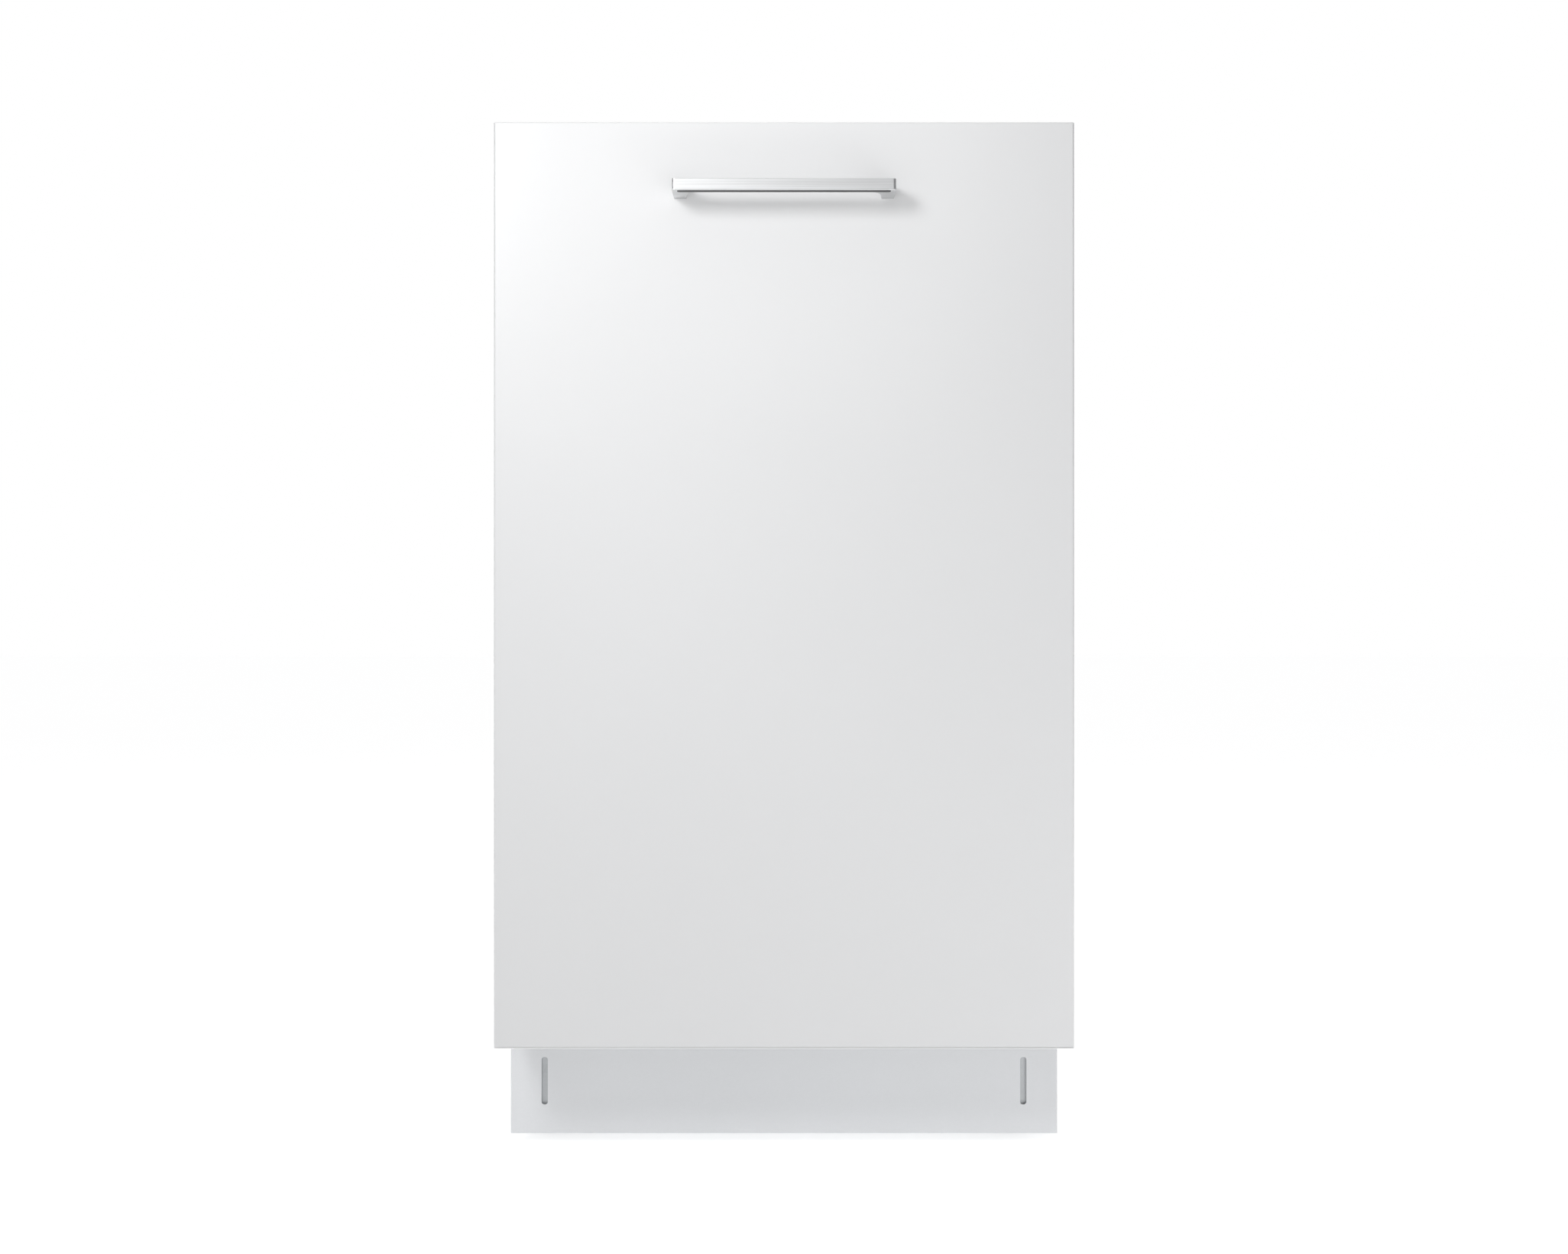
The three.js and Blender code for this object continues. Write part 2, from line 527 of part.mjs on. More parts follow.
function hingeArm(side) {
  const width = [ARM_X, ARM_OUT];
  const [y, z] = [HINGE_Y, HINGE_HEIGHT];
  const strip = outline([
    [y - 39, z + 178], [y - 39, z], [y - 34, z - 7], [y - 4, z - 8.5],
    [y + 4, z + 8], [y - 4, z + 9], [y - 21, z + 18], [y - 21, z + 178],
  ]);
  const hub = axle(9, width, y, z, 16);
  const tail = block(width, [y, TAIL_END + 5], [z - 5, z + 5]);
  const bore = axle(HINGE_PIN_RADIUS + GAP, [ARM_X - 1, ARM_OUT + 1], y, z, 12);
  const hook = axle(2, [SPRING_X - 2, ARM_OUT - 0.5], TAIL_END, z, 8);
  return mirrored("hinge_arm", side, cut(join(alongX(strip, width), hub, tail, hook), bore), zincPlatedSteel);
}

function hingeSpring(side) {
  const coil = post(4.5, SPRING_X, TAIL_END, [SPRING_FOOT + GAP, HINGE_HEIGHT - 2 - GAP]);
  return mirrored("hinge_spring", side, coil, zincPlatedSteel);
}

// ---------------------------------------------------------------- door
function frontPanel() {
  const [w, b] = [WIDTH / 2, FRONT_BEVEL];
  const [low, high] = [FRONT_BOTTOM + b, HEIGHT - b];
  const face = outline([[-w + b, low], [w - b, low], [w - b, high], [-w + b, high]]);
  const board = new THREE.ExtrudeGeometry(face, {
    depth: FRONT_THICKNESS - 2 * b, bevelThickness: b, bevelSize: b, bevelSegments: 1,
  });
  const panel = solid(board.rotateX(Math.PI / 2).translate(0, DOOR_FRONT - b, 0));
  const holes = [-1, 1].map((side) => (side * HANDLE_HOLES) / 2).flatMap((x) => [
    spigot(2.5, x, [FRONT_FACE - 1, DOOR_FRONT + 1], HANDLE_Z, 12),
    spigot(5, x, [DOOR_FRONT - 4, DOOR_FRONT + 1], HANDLE_Z, 12),
  ]);
  return piece("front_panel", cut(panel, ...holes), whiteLacquer);
}

function handle() {
  const half = HANDLE_LENGTH / 2;
  const back = FRONT_FACE - GAP;
  const corner = 2;
  const leg = half - HANDLE_HOLES / 2 + 5; // width of the leg where it meets the front
  const flare = 12; // how far the inside of the bow sweeps in from the leg
  const grip = HANDLE_FACE + HANDLE_BAR;
  const turn = HANDLE_FACE + corner;
  const bow = new THREE.Shape();
  bow.moveTo(-half, back);
  bow.lineTo(-half, turn).absarc(-half + corner, turn, corner, Math.PI, 1.5 * Math.PI);
  bow.lineTo(half - corner, HANDLE_FACE).absarc(half - corner, turn, corner, 1.5 * Math.PI, 2 * Math.PI);
  bow.lineTo(half, back).lineTo(half - leg, back);
  bow.quadraticCurveTo(half - leg, grip, half - leg - flare, grip);
  bow.lineTo(-half + leg + flare, grip).quadraticCurveTo(-half + leg, grip, -half + leg, back);
  const low = HANDLE_Z - HANDLE_HEIGHT / 2;
  const bores = [-1, 1].map((side) =>
    spigot(2 + GAP, (side * HANDLE_HOLES) / 2, [back - 12, back + 1], HANDLE_Z, 12),
  );
  return piece("handle", cut(alongZ(bow, [low, low + HANDLE_HEIGHT], 6), ...bores), satinAluminium);
}

function doorSheet() {
  const half = WIDTH / 2 - 2;
  const front = DOOR_FRONT + GAP;
  const rear = LINER_FACE - SHEET - GAP;
  const [low, high] = [FRONT_BOTTOM + 1, CONTROL_BOTTOM - GAP];
  const pan = block([-half, half], [front, rear], [low, high]);
  const hollow = block([-half + SHEET, half - SHEET], [front + SHEET, rear + 1], [low + SHEET, high - SHEET]);
  return piece("door_sheet", cut(pan, hollow), galvanisedSteel);
}

// A low hollow ridge pressed into the liner, in line with the lower rack's wheels.
function pressTrack(plate, side) {
  const middle = side * (WHEEL_X + WHEEL.width / 2);
  const half = WHEEL.width / 2 + 2;
  const crest = LINER_FACE + TRACK_HEIGHT;
  const [low, high] = [HINGE_HEIGHT + 24, HINGE_HEIGHT + 300];
  const ridge = block([middle - half, middle + half], [LINER_FACE - SHEET / 2, crest], [low, high]);
  const pocket = block(
    [middle - half + SHEET, middle + half - SHEET],
    [LINER_FACE - 2 * SHEET, crest - SHEET],
    [low + SHEET, high - SHEET],
  );
  return cut(join(plate, ridge), pocket);
}

function doorLiner() {
  const half = FLANGE_HALF_WIDTH;
  const sheet = rounded([-half, half], [HINGE_HEIGHT - 8, FLANGE_TOP], 6);
  const { width, height, z } = DISPENSER;
  const [u, v] = [width / 2 - 3, height / 2 - 3];
  sheet.holes.push(rounded([-u, u], [z - v, z + v], 5, THREE.Path));
  const plate = alongY(sheet, [LINER_FACE - SHEET, LINER_FACE]);
  return piece("door_liner", [-1, 1].reduce(pressTrack, plate), stainlessSteel);
}

function dispenser() {
  const { width, height, depth, z } = DISPENSER;
  const [u, v] = [width / 2, height / 2];
  const [cupU, cupV] = [CUP.width / 2, CUP.height / 2];
  const face = DISPENSER_FACE;
  const flange = alongY(rounded([-u, u], [z - v, z + v], 6), [LINER_FACE + GAP, face]);
  const casing = rounded([-u + 4, u - 4], [z - v + 4, z + v - 4], 4);
  const cup = rounded([CUP.x - cupU, CUP.x + cupU], [z - cupV, z + cupV], 8);
  const body = join(flange, alongY(casing, [LINER_FACE - depth, LINER_FACE + 1]));
  const rinseSeat = spigot(RINSE.radius + GAP, RINSE.x, [face - 6, face + 1], z, 16);
  return piece("dispenser", cut(body, alongY(cup, [face - CUP.depth, face + 1]), rinseSeat), greyPlastic);
}

// The lid hangs from its top edge, which is round so that it turns clear of the dispenser's face.
function detergentLid() {
  const r = LID_THICKNESS / 2;
  const { y, z } = LID_PIVOT;
  const bottom = DISPENSER.z - CUP.height / 2 - 5;
  const profile = new THREE.Shape();
  profile.moveTo(y - r, bottom);
  profile.lineTo(y + r, bottom).lineTo(y + r, z).absarc(y, z, r, 0, Math.PI, false);
  const half = CUP.width / 2 + 5;
  return piece("detergent_lid", alongX(profile, [CUP.x - half, CUP.x + half]), greyPlastic);
}

function rinseAidCap() {
  const face = DISPENSER_FACE;
  const disc = spigot(RINSE.radius, 0, [face - 5, face + 1.5], 0, 16);
  const rib = block([-RINSE.radius + 3, RINSE.radius - 3], [face + 1, face + 5], [-1.6, 1.6]);
  const mesh = piece("rinse_aid_cap", join(disc, rib), wheelPlastic);
  mesh.position.set(RINSE.x, 0, DISPENSER.z);
  return mesh;
}

function controlPanel() {
  const half = WIDTH / 2 - 2;
  const [front, rear] = [DOOR_FRONT + GAP, LINER_FACE - SHEET - GAP];
  const wall = CONTROL_WALL;
  const cap = block([-half, half], [front, rear], [CONTROL_BOTTOM, CONTROL_TOP]);
  const within = [-half + wall, half - wall];
  const hollow = block(within, [front + wall, rear - wall], [CONTROL_BOTTOM - 1, CONTROL_TOP - wall]);
  const mouth = block([-12, 12], [rear - wall - 1, rear + 1], [FLANGE_TOP + 0.8, FLANGE_TOP + 8.2]);
  const middle = (front + rear) / 2;
  const holes = Object.values(BUTTON_X).map((x) =>
    post(BUTTON.radius + BUTTON.clearance, x, middle, [CONTROL_TOP - wall - 1, CONTROL_TOP + 1]),
  );
  return piece("control_panel", cut(cap, hollow, mouth, ...holes), darkGlossPlastic);
}

function button(name, x) {
  const r = BUTTON.radius;
  const collar = CONTROL_TOP - CONTROL_WALL - GAP;
  const top = CONTROL_TOP + BUTTON.proud;
  const stem = [
    [0, collar - 5], [r + 1.5, collar - 5], [r + 1.5, collar], [r, collar],
    [r, top - 0.5], [r - 0.8, top], [0, top],
  ];
  const mesh = piece(name, turned(stem), darkGlossPlastic);
  mesh.position.set(x, (DOOR_FRONT + LINER_FACE - SHEET) / 2, 0);
  return mesh;
}

function latch() {
  const rear = LINER_FACE - SHEET - GAP - CONTROL_WALL - GAP;
  const case_ = block([-20, 20], [rear - 24, rear], [FLANGE_TOP - 4, CONTROL_TOP - CONTROL_WALL - GAP]);
  const mouth = block([-11, 11], [rear - 14, rear + 1], [FLANGE_TOP + 0.8, FLANGE_TOP + 8.2]);
  return piece("latch", cut(case_, mouth), blackPlastic);
}

// ---------------------------------------------------------------- racks
function rackBody({ halfWidth: w, front, back, floor, top, frontTop }) {
  const tray = block([-w, w], [front, back], [floor, top]);
  const room = block([-w + WIRE, w - WIRE], [front + WIRE, back - WIRE], [floor + WIRE, top + 1]);
  const drop = block([-w + WIRE, w - WIRE], [front - 1, front + WIRE + 1], [frontTop, top + 1]);
  const columns = between(-w, w, 6);
  const rows = between(front, back, 6);
  const ends = between(floor, frontTop, 2);
  const above = [[frontTop, top - WIRE]];
  return cut(
    tray, room, drop,
    ...paired(columns, rows, (x, y) => block(x, y, [floor - 1, floor + WIRE + 1])),
    ...paired(rows, between(floor, top, 2), (y, z) => block([-w - 1, w + 1], y, z)),
    ...paired(columns, ends, (x, z) => block(x, [front - 1, back + 1], z)),
    ...paired(columns, above, (x, z) => block(x, [back - WIRE - 1, back + 1], z)),
  );
}

// Pins standing on a cross wire, as a comb.
function tines(y, floor) {
  const { left, right, height, count } = TINE;
  const thick = [y - WIRE / 2, y + WIRE / 2];
  const comb = block([left, right], thick, [floor, floor + height]);
  const gaps = between(left, right, count - 1);
  const tall = [floor + WIRE, floor + height + 1];
  return cut(comb, ...gaps.map((x) => block(x, [thick[0] - 1, thick[1] + 1], tall)));
}

function lowerRack() {
  const w = LOWER_RACK.halfWidth;
  const carriers = [WHEEL.front, WHEEL.rear].flatMap((y) => {
    const plate = block([w - 1, w + 4], [y - 9, y + 9], [WHEEL_Z - 6, LOWER_FLOOR + 12]);
    const stub = axle(3, [w, WHEEL_X + WHEEL.width + 1.5], y, WHEEL_Z, 10);
    const right = join(plate, stub);
    return [right, right.mirror([1, 0, 0])];
  });
  return piece("lower_rack", join(rackBody(LOWER_RACK), ...carriers), rackCoating);
}

function rackWheel(name, side, y) {
  const tread = bar(WHEEL.radius, 0, WHEEL.width, 20);
  const bore = bar(3 + GAP, -1, WHEEL.width + 1, 10);
  const body = cut(solid(tread), solid(bore));
  const mesh = piece(name, body, wheelPlastic);
  mesh.rotation.y = (side * Math.PI) / 2;
  mesh.position.set(side * WHEEL_X, y, WHEEL_Z);
  return mesh;
}

// The plate rows that stay up: combs on two side wires, laid on the rack's floor.
function plateTines() {
  const { left, right, height, count, fixed } = TINE;
  const half = WIRE / 2;
  const floor = LOWER_FLOOR + GAP;
  const [crossbar, top] = [floor + WIRE, floor + height];
  const [front, back] = [fixed[0] - half, fixed.at(-1) + half];
  const bays = fixed.slice(1).map((y, i) => [fixed[i] + half, y - half]);
  return piece("plate_tines", cut(
    block([left, right], [front, back], [floor, top]),
    ...bays.map((y) => block([left - 1, right + 1], y, [crossbar, top + 1])),
    ...bays.map((y) => block([left + WIRE, right - WIRE], y, [floor - 1, crossbar + 1])),
    ...between(left, right, count - 1).map((x) => block(x, [front - 1, back + 1], [crossbar, top + 1])),
  ), rackCoating);
}

const foldingTines = () => piece("folding_tines", tines(TINE.folding, LOWER_FLOOR + 1.2), rackCoating);

function cutleryBasket() {
  const { x, halfWidth, front, back, height, cells } = CUTLERY;
  const floor = LOWER_FLOOR + GAP;
  const wall = 2;
  const outer = alongZ(rounded([x - halfWidth, x + halfWidth], [front, back], 6), [floor, floor + height]);
  const across = between(x - halfWidth, x + halfWidth, cells[0], wall);
  const along = between(front, back, cells[1], wall);
  const wells = paired(across, along, (u, v) => block(u, v, [floor + wall, floor + height + 1]));
  const [span, rise] = [[front + 40, back - 40], [floor + height - 20, floor + height + 34]];
  const bow = block([x - wall / 2, x + wall / 2], span, rise);
  const grip = block([x - wall, x + wall], [span[0] + 8, span[1] - 8], [floor + height - 12, rise[1] - 8]);
  return piece("cutlery_basket", join(cut(outer, ...wells), cut(bow, grip)), greyPlastic);
}

function upperRack() {
  const w = UPPER_RACK.halfWidth;
  const axis = RAIL.bottom + RAIL.height / 2;
  const runners = [-140, 120].flatMap((y) => {
    const plate = block([w - 1, w + 9], [y - 12, y + 12], [axis - 9, axis + 9]);
    const roller = axle(ROLLER_RADIUS, [w + 8, TUB_HALF_WIDTH - RAIL.sheet - 3.3], y, axis, 16);
    const right = join(plate, roller);
    return [right, right.mirror([1, 0, 0])];
  });
  return piece("upper_rack", join(rackBody(UPPER_RACK), ...runners), rackCoating);
}

function upperFeedDuct() {
  const top = UPPER_RACK.floor - GAP;
  const shape = rounded([-14, 14], [UPPER_HUB.y - 16, TUB_BACK - 21], 8);
  const duct = alongZ(shape, [top - 14, top]);
  const nozzle = post(9, UPPER_HUB.x, UPPER_HUB.y, [UPPER_ARM.bottom + 1, top - 5]);
  const dock = spigot(10, UPPER_HUB.x, [TUB_BACK - 30, TUB_BACK - 18.6], UPPER_RACK.floor - 8);
  return piece("upper_feed_duct", join(duct, nozzle, dock), greyPlastic);
}

function cupShelf() {
  const edge = UPPER_RACK.halfWidth - WIRE - 1;
  const [xs, ys] = [[-edge, -edge + 86], [-120, 90]];
  const shelf = block(xs, ys, [SHELF_Z - 1.5, SHELF_Z + 1.5]);
  const through = [SHELF_Z - 2, SHELF_Z + 2];
  const open = paired(between(...xs, 2, 3), between(...ys, 5, 3), (x, y) => block(x, y, through));
  return piece("cup_shelf", cut(shelf, ...open), rackCoating);
}

// A two-bladed arm, widest at its hub, on a socket that sits over a nozzle.
function sprayArm(name, hub, { radius, bottom, height }, nozzle, up) {
  const blade = new THREE.Shape();
  blade.moveTo(0, -19);
  blade.lineTo(radius - 11, -12).absarc(radius - 12, 0, 12, -Math.PI / 2, Math.PI / 2, false);
  blade.lineTo(0, 19).lineTo(-radius + 11, 12).absarc(-radius + 12, 0, 12, Math.PI / 2, 1.5 * Math.PI, false);
  const blades = alongZ(blade, [bottom, bottom + height]);
  const [low, high] = up ? [bottom - 6, bottom + height + 2] : [bottom - 2, bottom + height + 5];
  const boss = post(nozzle + 6, 0, 0, [low, high]);
  const socket = up
    ? post(nozzle + RUNNING_GAP, 0, 0, [low - 1, bottom + 5])
    : post(nozzle + RUNNING_GAP, 0, 0, [bottom + 0.5, high + 1]);
  const mesh = piece(name, cut(join(blades, boss), socket), stainlessSteel);
  mesh.position.set(hub.x, hub.y, 0);
  return mesh;
}

// ---------------------------------------------------------------- the whole dishwasher
const dishwasher = new THREE.Group();

const cabinet = new THREE.Group();
cabinet.add(
  basePan(), kickPlate(), sidePanel("left"), sidePanel("right"), rearPanel(), topCover(), insulationBlanket(),
  tub(), tubSeal(), sump(), filterPlate(), feedPipe(), outerRail("left"), outerRail("right"), latchStrike(),
  circulationPump(), waterSoftener(), inletValve(), cableGland(),
  hingeBracket("left"), hingeBracket("right"), hingeSpring("left"), hingeSpring("right"),
);
cabinet.add(
  foot("front_left_foot", -FOOT.x, FOOT.front), foot("front_right_foot", FOOT.x, FOOT.front),
  foot("rear_left_foot", -FOOT.x, FOOT.back), foot("rear_right_foot", FOOT.x, FOOT.back),
  sprayArm("lower_spray_arm", LOWER_HUB, LOWER_ARM, 10, true), topSprayHead(), filterCup(), saltCap(),
);

const door = assembly(
  0, HINGE_Y, HINGE_HEIGHT,
  frontPanel(), handle(), doorSheet(), doorLiner(), controlPanel(), dispenser(), rinseAidCap(), latch(),
  hingeArm("left"), hingeArm("right"),
  ...Object.entries(BUTTON_X).map(([name, x]) => button(`${name}_button`, x)),
);
door.attach(assembly(0, LID_PIVOT.y, LID_PIVOT.z, detergentLid()));

const lowerRackAssembly = assembly(
  0, LOWER_RACK.front, LOWER_RACK.floor,
  lowerRack(), plateTines(), foldingTines(), cutleryBasket(),
  ...["front", "rear"].flatMap((end) => [
    rackWheel(`${end}_left_wheel`, -1, WHEEL[end]),
    rackWheel(`${end}_right_wheel`, 1, WHEEL[end]),
  ]),
);

const upperRackAssembly = assembly(
  0, UPPER_RACK.front, UPPER_RACK.floor,
  upperRack(), upperFeedDuct(), cupShelf(),
  sprayArm("upper_spray_arm", UPPER_HUB, UPPER_ARM, 9, false),
);

const rails = assembly(0, RAIL.front, RAIL.bottom, innerRail("left"), innerRail("right"));

dishwasher.add(cabinet, door, lowerRackAssembly, upperRackAssembly, rails);

export default dishwasher;
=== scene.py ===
import math

import bmesh
import bpy
from mathutils import Matrix, Vector, noise


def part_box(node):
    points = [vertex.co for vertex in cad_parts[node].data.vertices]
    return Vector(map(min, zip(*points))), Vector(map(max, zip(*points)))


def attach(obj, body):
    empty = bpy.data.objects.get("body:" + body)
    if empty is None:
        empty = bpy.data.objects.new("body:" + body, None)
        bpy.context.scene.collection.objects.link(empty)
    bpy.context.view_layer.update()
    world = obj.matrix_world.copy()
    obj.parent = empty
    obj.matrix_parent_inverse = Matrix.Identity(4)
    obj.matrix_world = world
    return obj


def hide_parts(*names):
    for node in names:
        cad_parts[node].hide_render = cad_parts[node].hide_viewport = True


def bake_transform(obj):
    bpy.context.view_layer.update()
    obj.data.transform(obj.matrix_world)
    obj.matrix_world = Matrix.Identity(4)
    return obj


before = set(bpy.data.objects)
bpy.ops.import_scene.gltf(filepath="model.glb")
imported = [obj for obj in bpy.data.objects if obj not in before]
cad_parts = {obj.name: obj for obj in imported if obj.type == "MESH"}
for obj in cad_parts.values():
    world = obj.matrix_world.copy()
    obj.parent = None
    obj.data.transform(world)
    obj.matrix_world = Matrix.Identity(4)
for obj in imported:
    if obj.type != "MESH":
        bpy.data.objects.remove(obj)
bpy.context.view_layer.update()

bl_info = {
    "name": "Built-in Dishwasher",
    "version": (1, 0, 0),
    "blender": (4, 5, 0),
    "location": "3D View > Sidebar > Dishwasher",
    "description": "Builds the visible pieces of a slimline built-in dishwasher on its fixed frame",
    "category": "Add Mesh",
}

MM = 0.001
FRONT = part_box("front_panel")


# ---------------------------------------------------------------- sizes and colours to change
def length(name, description, default):
    return bpy.props.FloatProperty(
        name=name, description=description, default=default, min=0, precision=5, unit="LENGTH")


def colour(name, description, default):
    return bpy.props.FloatVectorProperty(
        name=name, description=description, default=default, size=3, min=0, max=1, subtype="COLOR")


class DishwasherSizes(bpy.types.PropertyGroup):
    """Sizes of the details that the frame leaves open"""

    rack_wire: length("Rack wire", "Diameter of the racks' wires", 3.4 * MM)
    rack_rim: length("Rack rim", "Diameter of the wires round the racks' rims", 4.4 * MM)
    wire_bend: length("Wire bend", "Radius of the bends in the racks' wires", 9 * MM)
    plastic_edge: length("Plastic edge", "Radius on the edges of moulded pieces", 0.7 * MM)
    sheet_edge: length("Sheet edge", "Radius on the edges of pressed sheet", 0.25 * MM)
    screw_head: length("Screw head", "Radius of the cabinet's screw heads", 3.6 * MM)
    thread_pitch: length("Thread pitch", "Rise of the feet's thread in one turn", 1.75 * MM)
    spring_wire: length("Spring wire", "Diameter of the door springs' wire", 1.7 * MM)
    jet: length("Jet", "Radius of a spray arm's jets", 2.3 * MM)


class DishwasherColours(bpy.types.PropertyGroup):
    """Colours of the finishes"""

    front: colour("Front", "Lacquer on the furniture front", (0.735, 0.738, 0.743))
    kick_plate: colour("Kick plate", "Powder coat on the kick plate", (0.80, 0.81, 0.825))
    racks: colour("Racks", "Nylon coating of the rack wires", (0.36, 0.39, 0.42))
    plastic: colour("Moulded parts", "Light grey moulded parts", (0.42, 0.435, 0.45))
    wheels: colour("Wheels", "Darker grey wheels and grips", (0.15, 0.165, 0.185))
    felt: colour("Felt", "Felt round the tub", (0.075, 0.078, 0.082))
    steel: colour("Stainless steel", "Tub and door liner", (0.68, 0.685, 0.69))
    light: colour("Indicator", "Indicator lights on the control panel", (0.25, 0.75, 1.0))


class DishwasherStage(bpy.types.PropertyGroup):
    """Camera and lights"""

    distance: length("Camera distance", "From the lens to the furniture front", 1.680)
    height: length("Camera height", "Height of the lens over the floor", 0.4255)
    key: bpy.props.FloatProperty(
        name="Key light", description="Power of the soft light at the upper left", default=1.84, min=0)
    fill: bpy.props.FloatProperty(
        name="Surroundings", description="Strength of the pale surroundings", default=0.6, min=0)


def sizes():
    return bpy.context.scene.dishwasher_sizes


def colours():
    return bpy.context.scene.dishwasher_colours


# ---------------------------------------------------------------- node trees
def arithmetic(operation):
    """The plain and the swapped form of one of Python's operators."""
    def plain(self, other):
        return self.math(operation, self, other)

    def swapped(self, other):
        return self.math(operation, other, self)
    return plain, swapped


class Socket:
    """A value in a node tree that Python's arithmetic works on"""

    def __init__(self, tree, socket):
        self.tree = tree
        self.socket = socket

    def math(self, operation, *values):
        return self.tree.node("ShaderNodeMath", {"operation": operation}, values)

    def floor(self):
        return self.math("FLOOR", self)

    def fraction(self):
        return self.math("FRACT", self)

    __add__, __radd__ = arithmetic("ADD")
    __sub__, __rsub__ = arithmetic("SUBTRACT")
    __mul__, __rmul__ = arithmetic("MULTIPLY")
    __truediv__, __rtruediv__ = arithmetic("DIVIDE")


class Tree:
    """A shader or geometry tree, built one node at a time"""

    def __init__(self, tree):
        self.tree = tree
        tree.nodes.clear()

    def node(self, kind, settings=None, values=(), output=0):
        """Add a node: its settings first, then values or links, and hand back one output"""
        node = self.tree.nodes.new(kind)
        for key, value in (settings or {}).items():
            if key == "stops":
                for stop, (place, tone) in zip(self.stops(node.color_ramp, len(value)), value):
                    stop.position = place
                    stop.color = rgba(tone)
            else:
                setattr(node, key, value)
        for key, value in values.items() if isinstance(values, dict) else enumerate(values):
            if isinstance(value, Socket):
                self.tree.links.new(value.socket, node.inputs[key])
            elif value is not None:
                node.inputs[key].default_value = value
        return Socket(self, node.outputs[output]) if len(node.outputs) else None

    @staticmethod
    def stops(ramp, count):
        while len(ramp.elements) < count:
            ramp.elements.new(0.5)
        return ramp.elements

    def split(self, vector):
        first = self.node("ShaderNodeSeparateXYZ", None, [vector])
        return [Socket(self, output) for output in first.socket.node.outputs]


def rgba(tone):
    if isinstance(tone, (int, float)):
        return (tone, tone, tone, 1)
    return (tone[0], tone[1], tone[2], 1)


def toned(tone, share):
    """A colour made lighter or darker."""
    return tuple(min(1, channel * share) for channel in tone)


class Finish(Tree):
    """A procedural material laid out on the piece's own coordinates"""

    def __init__(self, name):
        self.material = bpy.data.materials.new(name)
        self.material.use_nodes = True
        super().__init__(self.material.node_tree)
        self.place = self.node("ShaderNodeTexCoord", None, (), "Object")

    def stretch(self, x, y, z):
        return self.node("ShaderNodeMapping", None, {"Vector": self.place, "Scale": (x, y, z)})

    def cloud(self, scale, detail=2.0, rough=0.5, at=None):
        values = {"Vector": at or self.place, "Scale": scale, "Detail": detail, "Roughness": rough}
        return self.node("ShaderNodeTexNoise", None, values, "Fac")

    def cells(self, scale, output="Distance", at=None):
        values = {"Vector": at or self.place, "Scale": scale}
        return self.node("ShaderNodeTexVoronoi", None, values, output)

    def ramp(self, value, low, high):
        """A smooth step from 0 at low to 1 at high."""
        settings = {"interpolation_type": "SMOOTHSTEP"}
        values = {"Value": value, "From Min": low, "From Max": high}
        return self.node("ShaderNodeMapRange", settings, values)

    def blend(self, share, a, b):
        a, b = (c if isinstance(c, Socket) else rgba(c) for c in (a, b))
        return self.node("ShaderNodeMix", {"data_type": "RGBA"}, {0: share, 6: a, 7: b}, 2)

    def bump(self, height, strength, depth, under=None):
        values = {"Height": height, "Strength": strength, "Distance": depth, "Normal": under}
        return self.node("ShaderNodeBump", None, values)

    def scuffs(self, scale=38):
        """Sparse fine scratches and rubbed patches, from 0 to 1."""
        lines = self.cloud(scale, 5, 0.72, self.stretch(1, 5, 2.2))
        return self.ramp(lines, 0.60, 0.74)

    def surface(self, base, rough, metal=0.0, normal=None, **fixed):
        """End the material; what is fixed is set on the shader's own sockets."""
        base = base if isinstance(base, Socket) else rgba(base)
        values = {"Base Color": base, "Roughness": rough, "Metallic": metal, "Normal": normal}
        values.update({key.replace("_", " "): value for key, value in fixed.items()})
        shader = self.node("ShaderNodeBsdfPrincipled", None, values)
        self.node("ShaderNodeOutputMaterial", None, [shader])
        return self.material


FINISHES = {}


def finish(make):
    """Make a finish the first time it is asked for, and hand out the same one after that."""
    def get(*choices):
        name = "_".join([make.__name__, *choices])
        if name not in FINISHES:
            FINISHES[name] = make(Finish(name), *choices)
        return FINISHES[name]
    get.__doc__ = make.__doc__
    return get


# ---------------------------------------------------------------- finishes
@finish
def white_lacquer(f):
    """Sprayed satin lacquer with faint orange peel"""
    patch = f.cloud(4.5, 3)
    peel = f.cloud(380, 2)
    base = f.blend(patch, toned(colours().front, 0.975), colours().front)
    normal = f.bump(peel, 0.06, 0.4 * MM, f.bump(f.cloud(26, 1), 0.03, 1.5 * MM))
    return f.surface(base, 0.27 + 0.08 * patch + 0.12 * f.scuffs(16), 0.0, normal,
                     Coat_Weight=0.25, Coat_Roughness=0.12)


@finish
def edge_band(f):
    """Edging tape on the board, a little flatter than the lacquer"""
    grain = f.cloud(240, 3, 0.6)
    base = f.blend(grain, toned(colours().front, 0.93), toned(colours().front, 0.99))
    return f.surface(base, 0.38 + 0.1 * grain, 0.0, f.bump(grain, 0.1, 0.3 * MM))


def brushing(f, across):
    """Fine parallel lines that run along one axis, from the other two."""
    scale = {"X": (5, 620, 760), "Y": (620, 5, 760), "Z": (620, 760, 5)}[across]
    fine = f.cloud(1, 3, 0.7, f.stretch(*scale))
    wide = f.cloud(1, 2, 0.5, f.stretch(*(s * 0.12 for s in scale)))
    return 0.62 * fine + 0.38 * wide


